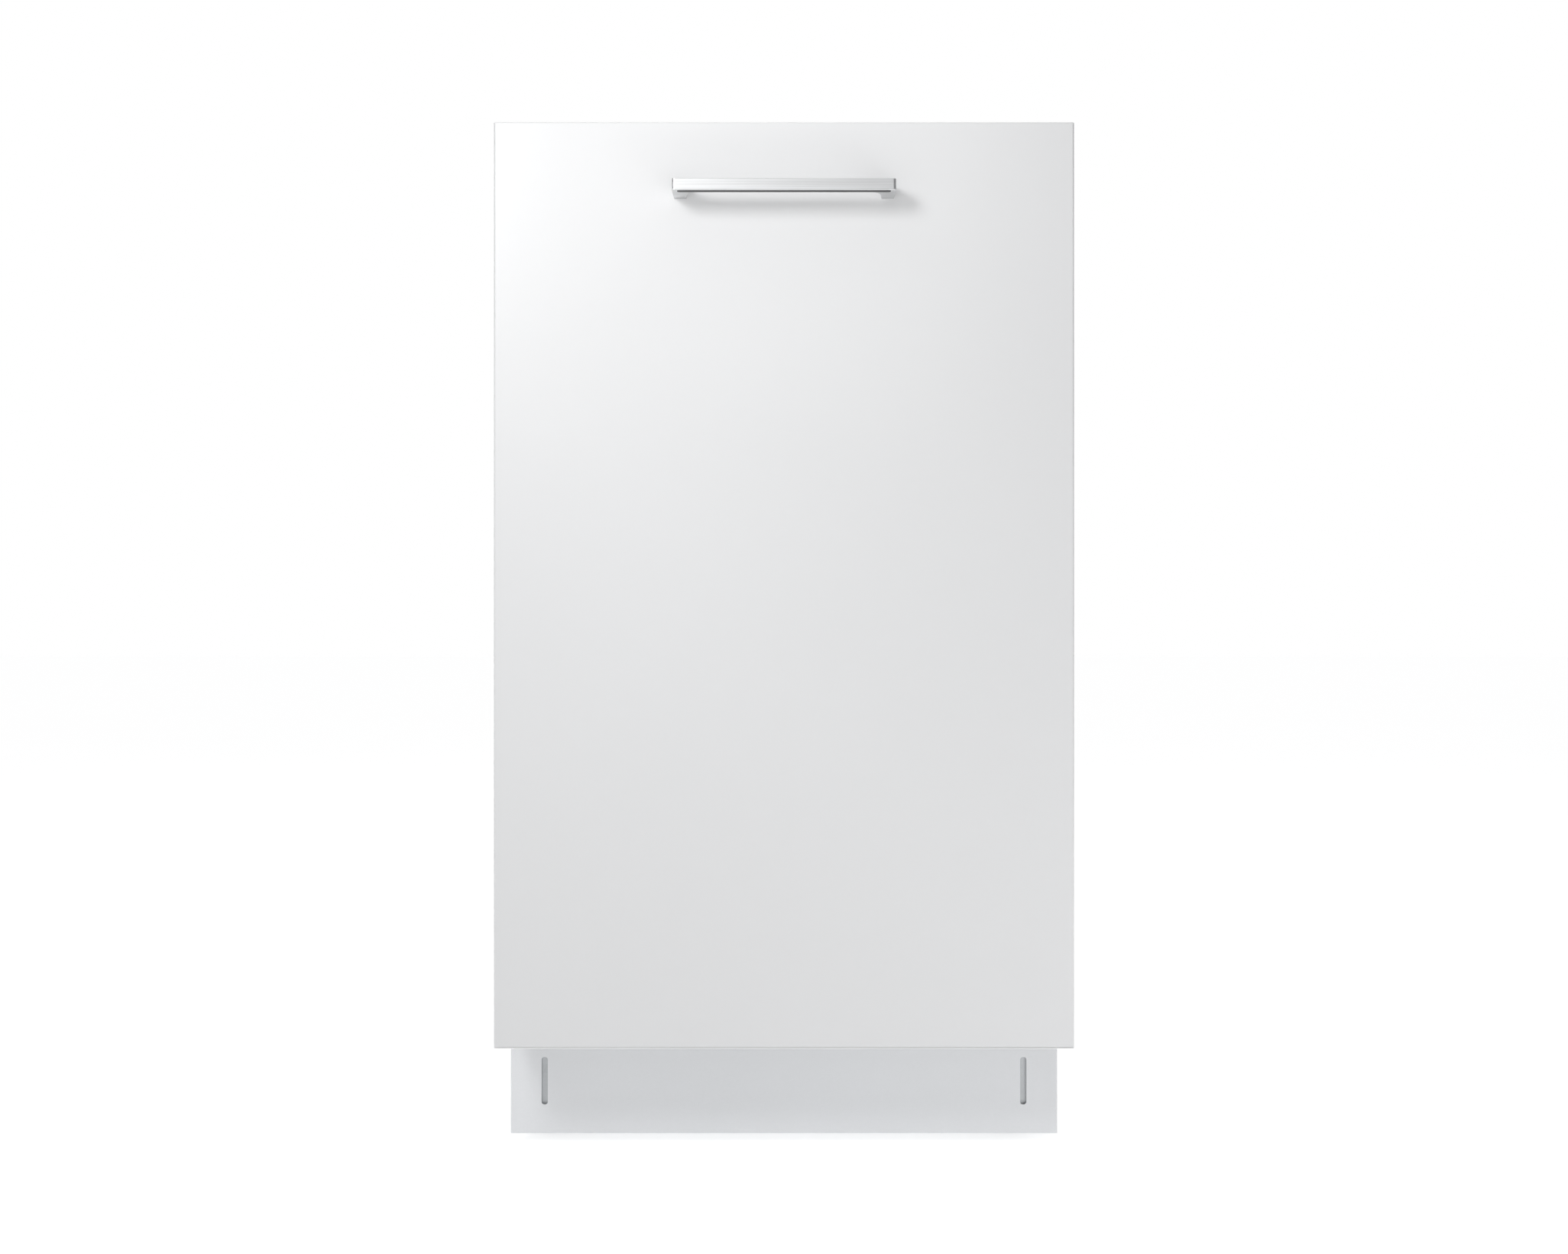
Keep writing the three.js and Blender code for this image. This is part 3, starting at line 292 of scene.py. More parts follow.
@finish
def satin_aluminium(f):
    """Anodised aluminium brushed along the bar"""
    lines = brushing(f, "X")
    base = f.blend(f.ramp(lines, 0.3, 0.7), (0.56, 0.565, 0.57), (0.75, 0.755, 0.76))
    rough = 0.26 + 0.2 * lines + 0.08 * f.scuffs()
    return f.surface(base, rough, 1.0, f.bump(lines, 0.22, 0.12 * MM), Coat_Weight=0.08)


@finish
def stainless(f, along="Y"):
    """Rolled stainless sheet with a directional grain and faint water marks"""
    lines = brushing(f, along)
    marks = f.ramp(f.cells(22, at=f.stretch(1, 1, 0.55)), 0.05, 0.42)
    tone = colours().steel
    base = f.blend(f.ramp(lines, 0.3, 0.72), toned(tone, 0.88), toned(tone, 1.1))
    rough = 0.2 + 0.14 * lines + 0.025 * marks + 0.05 * f.scuffs(24)
    normal = f.bump(lines, 0.1, 0.1 * MM, f.bump(f.cloud(7, 2), 0.12, 4 * MM))
    return f.surface(base, rough, 1.0, normal)


@finish
def galvanised(f):
    """Hot-dip zinc with its spangle"""
    flake = f.split(f.cells(170, "Color"))[0]
    broad = f.cloud(7, 4, 0.6)
    grain = f.cloud(420, 3, 0.6)
    base = f.blend(flake, (0.47, 0.487, 0.50), (0.545, 0.562, 0.575))
    base = f.blend(0.45 * f.ramp(broad, 0.4, 0.7), base, (0.60, 0.613, 0.62))
    rough = 0.30 + 0.12 * flake + 0.12 * grain + 0.12 * broad + 0.1 * f.scuffs(14)
    return f.surface(base, rough, 0.9, f.bump(grain, 0.1, 0.15 * MM, f.bump(flake, 0.04, 0.2 * MM)))


@finish
def zinc_plated(f):
    """Bright zinc with a faint blue and yellow cast"""
    cast = f.cloud(48, 3, 0.6)
    base = f.blend(f.ramp(cast, 0.35, 0.65), (0.60, 0.635, 0.67), (0.70, 0.67, 0.56))
    rough = 0.3 + 0.18 * f.cloud(140, 3) + 0.15 * f.scuffs(60)
    return f.surface(base, rough, 1.0, f.bump(f.cloud(520, 2), 0.12, 0.15 * MM))


@finish
def powder_coat(f):
    """Fine light grey powder coat"""
    grit = f.cloud(640, 3, 0.65)
    soft = f.cloud(11, 3)
    tone = colours().kick_plate
    base = f.blend(0.6 * grit + 0.4 * soft, toned(tone, 0.955), toned(tone, 1.03))
    return f.surface(base, 0.4 + 0.12 * grit + 0.1 * f.scuffs(18), 0.0, f.bump(grit, 0.16, 0.25 * MM))


def moulded(f, tone, rough, gloss=0.0):
    """Injection moulded plastic with an etched grain, flow marks and rubbed spots"""
    grain = f.cells(900)
    flow = f.cloud(13, 4, 0.6)
    base = f.blend(flow, toned(tone, 0.9), toned(tone, 1.07))
    base = f.blend(0.25 * f.scuffs(30), base, toned(tone, 1.3))
    depth = 0.22 * (1 - gloss)
    normal = f.bump(grain, depth, 0.2 * MM, f.bump(flow, 0.06, 1.2 * MM))
    return f.surface(base, rough + 0.1 * flow + 0.12 * f.scuffs(26), 0.0, normal,
                     Coat_Weight=0.6 * gloss, Coat_Roughness=0.06)


@finish
def grey_plastic(f):
    """Light grey moulded plastic"""
    return moulded(f, colours().plastic, 0.4)


@finish
def white_plastic(f):
    """Milky plastic of the salt container and the valve"""
    return moulded(f, (0.74, 0.74, 0.71), 0.34)


@finish
def black_plastic(f):
    """Black moulded plastic"""
    return moulded(f, (0.022, 0.023, 0.025), 0.42)


@finish
def dark_gloss(f):
    """Polished dark plastic of the control strip"""
    return moulded(f, (0.017, 0.018, 0.021), 0.16, 0.8)


@finish
def wheel_plastic(f):
    """Dark grey plastic of the wheels, caps and grips"""
    return moulded(f, colours().wheels, 0.38)


@finish
def rack_coating(f):
    """Thick nylon coating that pools slightly where wires cross"""
    pool = f.cloud(95, 3, 0.55)
    base = f.blend(pool, toned(colours().racks, 0.9), toned(colours().racks, 1.12))
    return f.surface(base, 0.24 + 0.16 * pool + 0.1 * f.scuffs(50), 0.0,
                     f.bump(pool, 0.14, 0.6 * MM), Coat_Weight=0.3, Coat_Roughness=0.15)


@finish
def rubber(f):
    """Dull extruded rubber"""
    dust = f.cloud(34, 5, 0.7)
    base = f.blend(f.ramp(dust, 0.4, 0.75), (0.018, 0.019, 0.02), (0.06, 0.062, 0.064))
    return f.surface(base, 0.62 + 0.2 * dust, 0.0, f.bump(f.cloud(480, 3), 0.2, 0.2 * MM))


@finish
def felt(f):
    """Needled felt of recycled fibres"""
    strands = f.cloud(210, 6, 0.8, f.stretch(1, 3.5, 1.7))
    flecks = f.cells(420, "Color")
    tint = f.split(flecks)[1]
    tone = colours().felt
    base = f.blend(f.ramp(strands, 0.35, 0.65), toned(tone, 0.6), toned(tone, 1.7))
    base = f.blend(0.35 * f.ramp(tint, 0.86, 0.93), base, (0.30, 0.31, 0.34))
    return f.surface(base, 0.92 + 0.05 * strands, 0.0, f.bump(strands, 0.7, 1.6 * MM), Sheen_Weight=0.25)


@finish
def copper(f):
    """Enamelled copper winding"""
    turns = f.cloud(1, 1, 0.4, f.stretch(1400, 60, 60))
    base = f.blend(turns, (0.42, 0.15, 0.06), (0.75, 0.33, 0.16))
    return f.surface(base, 0.25 + 0.2 * turns, 0.9, f.bump(turns, 0.4, 0.3 * MM), Coat_Weight=0.4)


@finish
def dark_glass(f):
    """Smoked window over the display"""
    smear = f.scuffs(14)
    base = f.blend(smear, (0.006, 0.007, 0.009), (0.02, 0.021, 0.024))
    return f.surface(base, 0.05 + 0.12 * smear, 0.0, f.bump(f.cloud(30, 1), 0.02, 1 * MM), Coat_Weight=1.0)


@finish
def indicator(f):
    """Small lamp behind a lens"""
    glow = f.blend(f.cloud(300, 1), toned(colours().light, 0.7), colours().light)
    return f.surface(glow, 0.2 + 0.1 * f.cloud(200), 0.0, None, Emission_Color=glow, Emission_Strength=1.2)


@finish
def perforated_steel(f):
    """Fine sheet filter with round holes in rows"""
    x, y, _ = f.split(f.place)
    pitch = 3.4 * MM
    across, rows = x / pitch, y / (pitch * 0.866)
    shift = (rows.floor() * 0.5).fraction()
    u = (across + shift).fraction() - 0.5
    v = rows.fraction() - 0.5
    hole = 1 - f.ramp(u * u + 0.75 * (v * v), 0.055, 0.085)
    lines = brushing(f, "X")
    # The holes' near-black colour is painted shade for the dark seen through real holes.
    base = f.blend(hole, f.blend(lines, (0.50, 0.505, 0.51), (0.68, 0.685, 0.69)), (0.02, 0.021, 0.022))
    return f.surface(base, 0.24 + 0.14 * lines + 0.3 * hole, 1 - 0.8 * hole, f.bump(1 - hole, 0.5, 0.4 * MM))


@finish
def studio_white(f):
    """Pale seamless floor"""
    tone = f.blend(f.cloud(1.5, 2), (0.90, 0.90, 0.90), (0.92, 0.92, 0.92))
    return f.surface(tone, 0.9 + 0.05 * f.cloud(20), 0.0, None,
                     Emission_Color=(1, 1, 1, 1), Emission_Strength=0.60)


# ---------------------------------------------------------------- geometry trees
class Growth(Tree):
    """A geometry tree with named inputs that ends in plain, finished faces"""

    def __init__(self, name, inputs):
        group = bpy.data.node_groups.new(name, "GeometryNodeTree")
        super().__init__(group)
        face = group.interface
        face.new_socket("Geometry", in_out="OUTPUT", socket_type="NodeSocketGeometry")
        face.new_socket("Geometry", in_out="INPUT", socket_type="NodeSocketGeometry")
        for title, kind, value in inputs:
            face.new_socket(title, in_out="INPUT", socket_type="NodeSocket" + kind).default_value = value
        face.new_socket("Finish", in_out="INPUT", socket_type="NodeSocketMaterial")
        entry = group.nodes.new("NodeGroupInput")
        self.inputs = {s.name: Socket(self, s) for s in entry.outputs if s.name}

    def end(self, geometry):
        smooth = self.node("GeometryNodeSetShadeSmooth", None, {"Geometry": geometry})
        plain = self.node("GeometryNodeRealizeInstances", None, {"Geometry": smooth})
        done = self.node("GeometryNodeSetMaterial", None,
                         {"Geometry": plain, "Material": self.inputs["Finish"]})
        self.node("NodeGroupOutput", None, [done])
        return self.tree

    def turn(self):
        return self.node("FunctionNodeEulerToRotation", None, [self.inputs["Turn"]])

    def on_points(self, item):
        return self.node("GeometryNodeInstanceOnPoints", None,
                         {"Points": self.inputs["Geometry"], "Instance": item, "Rotation": self.turn()})


TURN = ("Turn", "Vector", (0, 0, 0))
GROWTHS = {}


def growth(make):
    """Build a geometry tree the first time it is asked for."""
    def get():
        if make.__name__ not in GROWTHS:
            GROWTHS[make.__name__] = make()
        return GROWTHS[make.__name__]
    get.__doc__ = make.__doc__
    return get


@growth
def wire_work():
    """Round wire along every line of points, with bent corners"""
    g = Growth("wire_work", [("Wire Radius", "Float", 2 * MM), ("Bend Radius", "Float", 8 * MM),
                             ("Sides", "Int", 8)])
    curve = g.node("GeometryNodeMeshToCurve", None, [g.inputs["Geometry"]])
    bent = g.node("GeometryNodeFilletCurve", {"mode": "POLY"},
                  {"Curve": curve, "Count": 4, "Radius": g.inputs["Bend Radius"], "Limit Radius": True})
    ring = g.node("GeometryNodeCurvePrimitiveCircle", None,
                  {"Resolution": g.inputs["Sides"], "Radius": g.inputs["Wire Radius"]})
    return g.end(g.node("GeometryNodeCurveToMesh", None,
                        {"Curve": bent, "Profile Curve": ring, "Fill Caps": True}))


@growth
def studs():
    """Screw heads, rivets and jets: a short round stud with a recess, one on each point"""
    g = Growth("studs", [("Radius", "Float", 3 * MM), ("Height", "Float", 1 * MM), ("Recess", "Float", 0.5),
                         ("Recess Depth", "Float", 0.6 * MM), ("Sides", "Int", 14), TURN])
    drum = g.node("GeometryNodeMeshCylinder", {"fill_type": "NGON"},
                  {"Vertices": g.inputs["Sides"], "Radius": g.inputs["Radius"], "Depth": g.inputs["Height"]})
    top = Socket(g, drum.socket.node.outputs["Top"])
    rim = g.node("GeometryNodeExtrudeMesh", None, {"Mesh": drum, "Selection": top, "Offset Scale": 0.0})
    top = Socket(g, rim.socket.node.outputs["Top"])
    edge = g.node("GeometryNodeScaleElements", None, {"Geometry": rim, "Selection": top, "Scale": 0.86})
    lift = g.node("ShaderNodeCombineXYZ", None, [0.0, 0.0, g.inputs["Height"] * 0.3])
    edge = g.node("GeometryNodeSetPosition", None, {"Geometry": edge, "Selection": top, "Offset": lift})
    sink = g.node("GeometryNodeExtrudeMesh", None, {"Mesh": edge, "Selection": top, "Offset Scale": 0.0})
    top = Socket(g, sink.socket.node.outputs["Top"])
    cup = g.node("GeometryNodeScaleElements", None,
                 {"Geometry": sink, "Selection": top, "Scale": g.inputs["Recess"]})
    well = g.node("GeometryNodeExtrudeMesh", None,
                  {"Mesh": cup, "Selection": top, "Offset Scale": 0 - g.inputs["Recess Depth"]})
    return g.end(g.on_points(well))


@growth
def beads():
    """Long rounded ribs as pressed into sheet, one on each point, half sunk in it"""
    g = Growth("beads", [("Length", "Float", 60 * MM), ("Width", "Float", 8 * MM),
                         ("Height", "Float", 1 * MM), TURN])
    radius = g.inputs["Width"] / 2
    reach = g.inputs["Length"] / 2 - radius
    drum = g.node("GeometryNodeMeshCylinder", {"fill_type": "TRIANGLE_FAN"},
                  {"Vertices": 16, "Radius": radius, "Depth": reach * 2})
    lying = g.node("GeometryNodeTransform", None, {"Geometry": drum, "Rotation": (0, math.pi / 2, 0)})
    ball = g.node("GeometryNodeMeshUVSphere", None, {"Segments": 16, "Rings": 8, "Radius": radius})
    ball = g.node("GeometryNodeTransform", None, {"Geometry": ball, "Rotation": (0, math.pi / 2, 0)})
    join = g.tree.nodes.new("GeometryNodeJoinGeometry")
    for side in (1, -1):
        shift = g.node("ShaderNodeCombineXYZ", None, [reach * side, 0.0, 0.0])
        end = g.node("GeometryNodeTransform", None, {"Geometry": ball, "Translation": shift})
        g.tree.links.new(end.socket, join.inputs[0])
    g.tree.links.new(lying.socket, join.inputs[0])
    flat = g.node("ShaderNodeCombineXYZ", None, [1.0, 1.0, g.inputs["Height"] / radius])
    low = g.node("GeometryNodeTransform", None, {"Geometry": Socket(g, join.outputs[0]), "Scale": flat})
    return g.end(g.on_points(low))


@growth
def bars():
    """Slats, ribs and fins: a small block on each point"""
    g = Growth("bars", [("Size", "Vector", (MM, MM, MM)), TURN])
    block = g.node("GeometryNodeMeshCube", None, {"Size": g.inputs["Size"]})
    return g.end(g.on_points(block))


@growth
def coils():
    """Coil springs and threads, one on each point, winding upwards"""
    g = Growth("coils", [("Turns", "Float", 10.0), ("Coil Radius", "Float", 4 * MM),
                         ("Height", "Float", 50 * MM), ("Wire Radius", "Float", 0.8 * MM), TURN])
    line = g.node("GeometryNodeCurveSpiral", None, {
        "Resolution": 14, "Rotations": g.inputs["Turns"], "Start Radius": g.inputs["Coil Radius"],
        "End Radius": g.inputs["Coil Radius"], "Height": g.inputs["Height"]})
    ring = g.node("GeometryNodeCurvePrimitiveCircle", None,
                  {"Resolution": 6, "Radius": g.inputs["Wire Radius"]})
    wire = g.node("GeometryNodeCurveToMesh", None,
                  {"Curve": line, "Profile Curve": ring, "Fill Caps": True})
    return g.end(g.on_points(wire))


def turned(facing, along=None):
    """Euler angles that stand a grown item's top towards facing and its length along another axis."""
    up = Vector(facing)
    run = Vector(along) if along else Vector((up.z, up.x, up.y))
    return tuple(Matrix((run, up.cross(run), up)).transposed().to_euler())


def settled(thing):
    """The plain mesh that an object's modifiers make; the object itself goes."""
    graph = bpy.context.evaluated_depsgraph_get()
    mesh = bpy.data.meshes.new_from_object(thing.evaluated_get(graph), depsgraph=graph)
    bpy.data.objects.remove(thing)
    return mesh


def linked(name, data):
    thing = bpy.data.objects.new(name, data)
    bpy.context.scene.collection.objects.link(thing)
    return thing


def grown(tree, values, points=(), lines=()):
    """Run a geometry tree on loose points, or on (points, closed) lines."""
    verts, edges = [Vector(p) for p in points], []
    for line, closed in lines:
        start = len(verts)
        verts += [Vector(p) for p in line]
        edges += [(i, i + 1) for i in range(start, len(verts) - 1)]
        if closed:
            edges.append((len(verts) - 1, start))
    guide = bpy.data.meshes.new("guide")
    guide.from_pydata(verts, edges, [])
    thing = linked("guide", guide)
    modifier = thing.modifiers.new("Growth", "NODES")
    modifier.node_group = tree
    for item in tree.interface.items_tree:
        if item.in_out == "INPUT" and item.name in values:
            modifier[item.identifier] = values[item.name]
    return settled(thing)


def wires(lines, radius, bend=None, sides=8):
    bend = sizes().wire_bend if bend is None else bend
    return grown(wire_work(), {"Wire Radius": radius, "Bend Radius": bend, "Sides": sides}, lines=lines)


def heads(points, facing, radius, height, recess=0.5, depth=0.6 * MM, sides=14):
    values = {"Radius": radius, "Height": height, "Recess": recess, "Recess Depth": depth,
              "Sides": sides, "Turn": turned(facing)}
    return grown(studs(), values, points)


def ridges(points, facing, along, long, wide, high):
    values = {"Length": long, "Width": wide, "Height": high, "Turn": turned(facing, along)}
    return grown(beads(), values, points)


def slats(points, size):
    return grown(bars(), {"Size": size}, points)


# ---------------------------------------------------------------- mesh tools
def closed_up(mesh):
    """Merge doubled points and turn every face outwards."""
    work = bmesh.new()
    work.from_mesh(mesh)
    bmesh.ops.remove_doubles(work, verts=work.verts, dist=1e-6)
    bmesh.ops.recalc_face_normals(work, faces=work.faces)
    work.to_mesh(mesh)
    work.free()
    return mesh


def meshed(work):
    mesh = bpy.data.meshes.new("body")
    bmesh.ops.recalc_face_normals(work, faces=work.faces)
    work.to_mesh(mesh)
    work.free()
    return mesh


def bend(start, corner, end, steps=5):
    start, corner, end = Vector(start), Vector(corner), Vector(end)
    shares = [i / steps for i in range(steps + 1)]
    return [(1 - t) ** 2 * start + 2 * t * (1 - t) * corner + t * t * end for t in shares]


def filleted(points, radius, steps=5, closed=True):
    """Round the corners of a line of points; radius is one number or one for each point."""
    radii = radius if isinstance(radius, (list, tuple)) else [radius] * len(points)
    points = [Vector(p) for p in points]
    out = []
    for i, (p, r) in enumerate(zip(points, radii)):
        if r <= 0 or (not closed and i in (0, len(points) - 1)):
            out.append(p)
            continue
        a, b = points[i - 1] - p, points[(i + 1) % len(points)] - p
        reach = min(r / math.tan(a.angle(b) / 2), 0.48 * a.length, 0.48 * b.length)
        out += bend(p + a.normalized() * reach, p, p + b.normalized() * reach, steps)
    return out


def rectangle(u0, u1, v0, v1, radius=0.0, steps=5):
    corners = [(u0, v0), (u1, v0), (u1, v1), (u0, v1)]
    return filleted(corners, radius, steps) if radius else [Vector(c) for c in corners]


def circle(u, v, radius, sides=40):
    turn = [2 * math.pi * i / sides for i in range(sides)]
    return [Vector((u + radius * math.cos(t), v + radius * math.sin(t))) for t in turn]


LIE = {"X": lambda p: (p[2], p[0], p[1]), "Y": lambda p: (p[0], p[2], p[1]), "Z": lambda p: tuple(p)}
STAND = {"X": lambda p: (p[2], p[0], p[1]), "Y": lambda p: (p[1], p[2], p[0]), "Z": lambda p: tuple(p)}


def slab(outer, axis, low, high, edge=0.3 * MM, holes=(), rings=2):
    """A plate with rounded edges from an outline, thick from low to high along an axis.
    Outlines are (x, y) for axis Z, (x, z) for axis Y and (y, z) for axis X."""
    curve = bpy.data.curves.new("outline", "CURVE")
    curve.dimensions = "2D"
    curve.fill_mode = "BOTH"
    curve.extrude = (high - low) / 2 - edge
    curve.bevel_depth = edge
    curve.bevel_resolution = rings
    curve.offset = -edge
    for loop, inside in [(outer, False), *((hole, True) for hole in holes)]:
        area = sum(a[0] * b[1] - b[0] * a[1] for a, b in zip(loop, [*loop[1:], loop[0]]))
        loop = loop if (area > 0) != inside else loop[::-1]
        spline = curve.splines.new("POLY")
        spline.points.add(len(loop) - 1)
        for point, (u, v) in zip(spline.points, loop):
            point.co = (u, v, 0, 1)
        spline.use_cyclic_u = True
    mesh = settled(linked("outline", curve))
    for vert in mesh.vertices:
        vert.co = LIE[axis]((vert.co.x, vert.co.y, vert.co.z + (low + high) / 2))
    return closed_up(mesh)


def block(low, high, edge=0.5 * MM, rings=2):
    """A block with rounded edges between two corners."""
    work = bmesh.new()
    bmesh.ops.create_cube(work, size=1)
    low, high = Vector(low), Vector(high)
    for vert in work.verts:
        vert.co = [(a + b) / 2 + c * (b - a) for a, b, c in zip(low, high, vert.co)]
    edge = min(edge, 0.45 * min(b - a for a, b in zip(low, high)))
    bmesh.ops.bevel(work, geom=work.edges[:], offset=edge, segments=rings, profile=0.5, affect="EDGES")
    return meshed(work)


def lathed(profile, at=(0, 0, 0), axis="Z", sides=36, ring=False):
    """A turned piece from (radius, height) points; a ring joins its last point to its first."""
    work = bmesh.new()
    rows = []
    for r, h in profile:
        spots = [2 * math.pi * k / sides for k in range(sides)] if r > 1e-7 else [0]
        places = [Vector(STAND[axis]((r * math.cos(t), r * math.sin(t), h))) + Vector(at) for t in spots]
        rows.append([work.verts.new(p) for p in places])
    for a, b in [*zip(rows, rows[1:]), *([(rows[-1], rows[0])] if ring else [])]:
        for k in range(sides):
            j = (k + 1) % sides
            corners = ([a[0]] if len(a) == 1 else [a[k], a[j]]) + ([b[0]] if len(b) == 1 else [b[j], b[k]])
            if len(corners) > 2:
                work.faces.new(corners)
    return meshed(work)


def softened(node, edge, rings=2, sharp=25):
    """A copy of a frame node with its flat faces joined up and its edges rounded."""
    work = bmesh.new()
    work.from_mesh(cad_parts[node].data)
    bmesh.ops.remove_doubles(work, verts=work.verts, dist=1e-5)
    bmesh.ops.dissolve_limit(work, angle_limit=math.radians(0.6), verts=work.verts, edges=work.edges)
    edges = [e for e in work.edges if e.is_manifold and e.calc_face_angle(0) > math.radians(sharp)]
    bmesh.ops.bevel(work, geom=edges, offset=edge, segments=rings, profile=0.5, affect="EDGES",
                    clamp_overlap=False)
    return meshed(work)


def carved(mesh, *cutters):
    """Cut closed bodies out of another."""
    thing = linked("carved", mesh)
    tools = [linked("cutter", cutter) for cutter in cutters]
    for tool in tools:
        modifier = thing.modifiers.new("Cut", "BOOLEAN")
        modifier.operation = "DIFFERENCE"
        modifier.solver = "EXACT"
        modifier.object = tool
    done = settled(thing)
    for tool in tools:
        bpy.data.objects.remove(tool)
    return done


SIDES = (("left", -1), ("right", 1))
STATIONS = [(end, side, sign) for end in ("front", "rear") for side, sign in SIDES]


class Shape:
    """A piece put together from closed bodies, each with its own finish"""

    def __init__(self):
        self.work = bmesh.new()
        self.finishes = []

    def add(self, mesh, material, shift=(0, 0, 0)):
        if material not in self.finishes:
            self.finishes.append(material)
        mesh.transform(Matrix.Translation(shift))
        start = len(self.work.faces)
        self.work.from_mesh(mesh)
        self.work.faces.ensure_lookup_table()
        for face in self.work.faces[start:]:
            face.material_index = self.finishes.index(material)
            face.smooth = True
        bpy.data.meshes.remove(mesh)
        return self

    def put(self, name, body, slot, *nodes):
        """Turn it into a piece that rides on a body and stands for frame nodes."""
        mesh = bpy.data.meshes.new(name)
        self.work.to_mesh(mesh)
        self.work.free()
        for material in self.finishes:
            mesh.materials.append(material)
        mesh.set_sharp_from_angle(angle=math.radians(48))
        thing = linked(name, mesh)
        even = thing.modifiers.new("Even", "WEIGHTED_NORMAL")
        even.keep_sharp = True
        done = settled(thing)
        done.name = name
        thing = linked(name, done)
        if body:
            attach(thing, body)
        if nodes:
            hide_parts(*nodes)
        return thing


def corners(node):
    """A frame node's lowest and highest corners."""
    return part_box(node)


def middle(node):
    """The middle of a frame node's box."""
    return [(a + b) / 2 for a, b in zip(*corners(node))]


def steps(low, high, count):
    return [low + (high - low) * i / (count - 1) for i in range(count)]


def around(x, y, z, radius, count):
    """Points round a level circle."""
    return [(x + radius * math.cos(t), y + radius * math.sin(t), z)
            for t in (math.tau * i / count for i in range(count))]


def in_mm(points):
    return [(u * MM, v * MM) for u, v in points]


def spun(points, radii, at, axis="Z", sides=40, steps=4, sign=1):
    """A turned piece with a rounding of its own at each corner; its outline is in millimetres."""
    line = filleted(in_mm(points), [r * MM for r in radii], steps, False)
    return lathed([(p.x, p.y * sign) for p in line], at, axis, sides)


def level(x0, x1, y0, y1, z):
    """A closed line of points round a level rectangle."""
    return [(x0, y0, z), (x1, y0, z), (x1, y1, z), (x0, y1, z)], True


def straight(start, end):
    return [start, end], False


def swept(node, slot, material, edge, name, body, extra=None):
    """A frame node with rounded edges and its new finish, with what extra adds to it."""
    shape = Shape().add(softened(node, edge), material)
    if extra:
        extra(shape)
    return shape.put(name, body, slot, node)


# ---------------------------------------------------------------- front
class DISHWASHER_OT_front(bpy.types.Operator):
    """Furniture front: lacquered board with an edge band and its bow handle"""

    bl_idname = "dishwasher.front"
    bl_label = "Furniture front and handle"

    def execute(self, context):
        lo, hi = FRONT
        joint = lo.y + 3.2 * MM
        face = rectangle(lo.x, hi.x, lo.z, hi.z, 0.9 * MM)
        core = rectangle(lo.x + 0.12 * MM, hi.x - 0.12 * MM, lo.z + 0.12 * MM, hi.z - 0.12 * MM, 0.6 * MM)
        board = Shape()
        board.add(slab(face, "Y", lo.y, joint, 1.15 * MM, rings=4), white_lacquer())
        board.add(slab(core, "Y", joint - 0.15 * MM, hi.y, 0.5 * MM), edge_band())
        board.put("furniture_front", "door", "white_lacquer", "front_panel")

        lo, hi = corners("handle")
        half, back, grip = hi.x, hi.y, lo.y + 8 * MM
        leg, flare = 10 * MM, 12 * MM
        outer = filleted([(-half, back), (-half, lo.y), (half, lo.y), (half, back)],
                         [0, 2.4 * MM, 2.4 * MM, 0], 6)
        inside = bend((half - leg, back), (half - leg, grip), (half - leg - flare, grip), 10)
        bow = outer + inside + [Vector((-p.x, p.y)) for p in reversed(inside)]
        bar = Shape().add(slab(bow, "Z", lo.z, hi.z, 0.75 * MM, rings=4), satin_aluminium())
        # Painted shade: this thin black plastic strip along the grip's underside stands in for the bar's
        # shaded underside; the real handle has no such strip.
        shade_strip = rectangle(-half + 4 * MM, half - 4 * MM, lo.y + 0.9 * MM, grip - 0.4 * MM, 2.5 * MM)
        bar.add(slab(shade_strip, "Z", lo.z - 0.2 * MM, lo.z + 0.4 * MM, 0.15 * MM), black_plastic())
        bar.put("bow_handle", "door", "satin_aluminium", "handle")
        return {"FINISHED"}


class DISHWASHER_OT_kick_plate(bpy.types.Operator):
    """Kick plate: one folded sheet with two upright slots"""

    bl_idname = "dishwasher.kick_plate"
    bl_label = "Kick plate"

    def execute(self, context):
        lo, hi = corners("kick_plate")
        thick = 1.2 * MM
        front, back = lo.y, hi.y
        u = filleted([(lo.x, back), (lo.x, front), (hi.x, front), (hi.x, back)],
                     [0, 1.9 * MM, 1.9 * MM, 0], 6)
        v = filleted([(hi.x - thick, back), (hi.x - thick, front + thick), (lo.x + thick, front + thick),
                      (lo.x + thick, back)], [0, 0.8 * MM, 0.8 * MM, 0], 4)
        channel = slab(u + v, "Z", lo.z, hi.z, 0.3 * MM)
        low, high, half = 36.2 * MM, 74.8 * MM, 2.5 * MM
        cutters, sheet = [], Shape()
        for x in (-195.15 * MM, 195.15 * MM):
            slot = rectangle(x - half, x + half, low, high, half * 0.999, 8)
            cutters.append(slab(slot, "Y", front - 1 * MM, front + 2 * thick, 0.01 * MM, rings=0))
            rim = 0.9 * MM
            collar = rectangle(x - half - rim, x + half + rim, low - rim, high + rim, half + 0.85 * MM, 8)
            sheet.add(slab(collar, "Y", front + 0.35 * MM, front + 2.6 * MM, 0.2 * MM, [slot]), powder_coat())
            sheet.add(block((x - 8 * MM, front + 3 * MM, low - 7 * MM),
                            (x + 8 * MM, front + 4 * MM, high + 7 * MM), 0.3 * MM), galvanised())
        sheet.add(carved(channel, *cutters), powder_coat())
        sheet.add(block((lo.x + thick, front + thick, lo.z), (hi.x - thick, back, lo.z + thick), 0.3 * MM),
                  powder_coat())
        sheet.put("kick_plate_sheet", "cabinet", "grey_painted_sheet", "kick_plate")
        return {"FINISHED"}


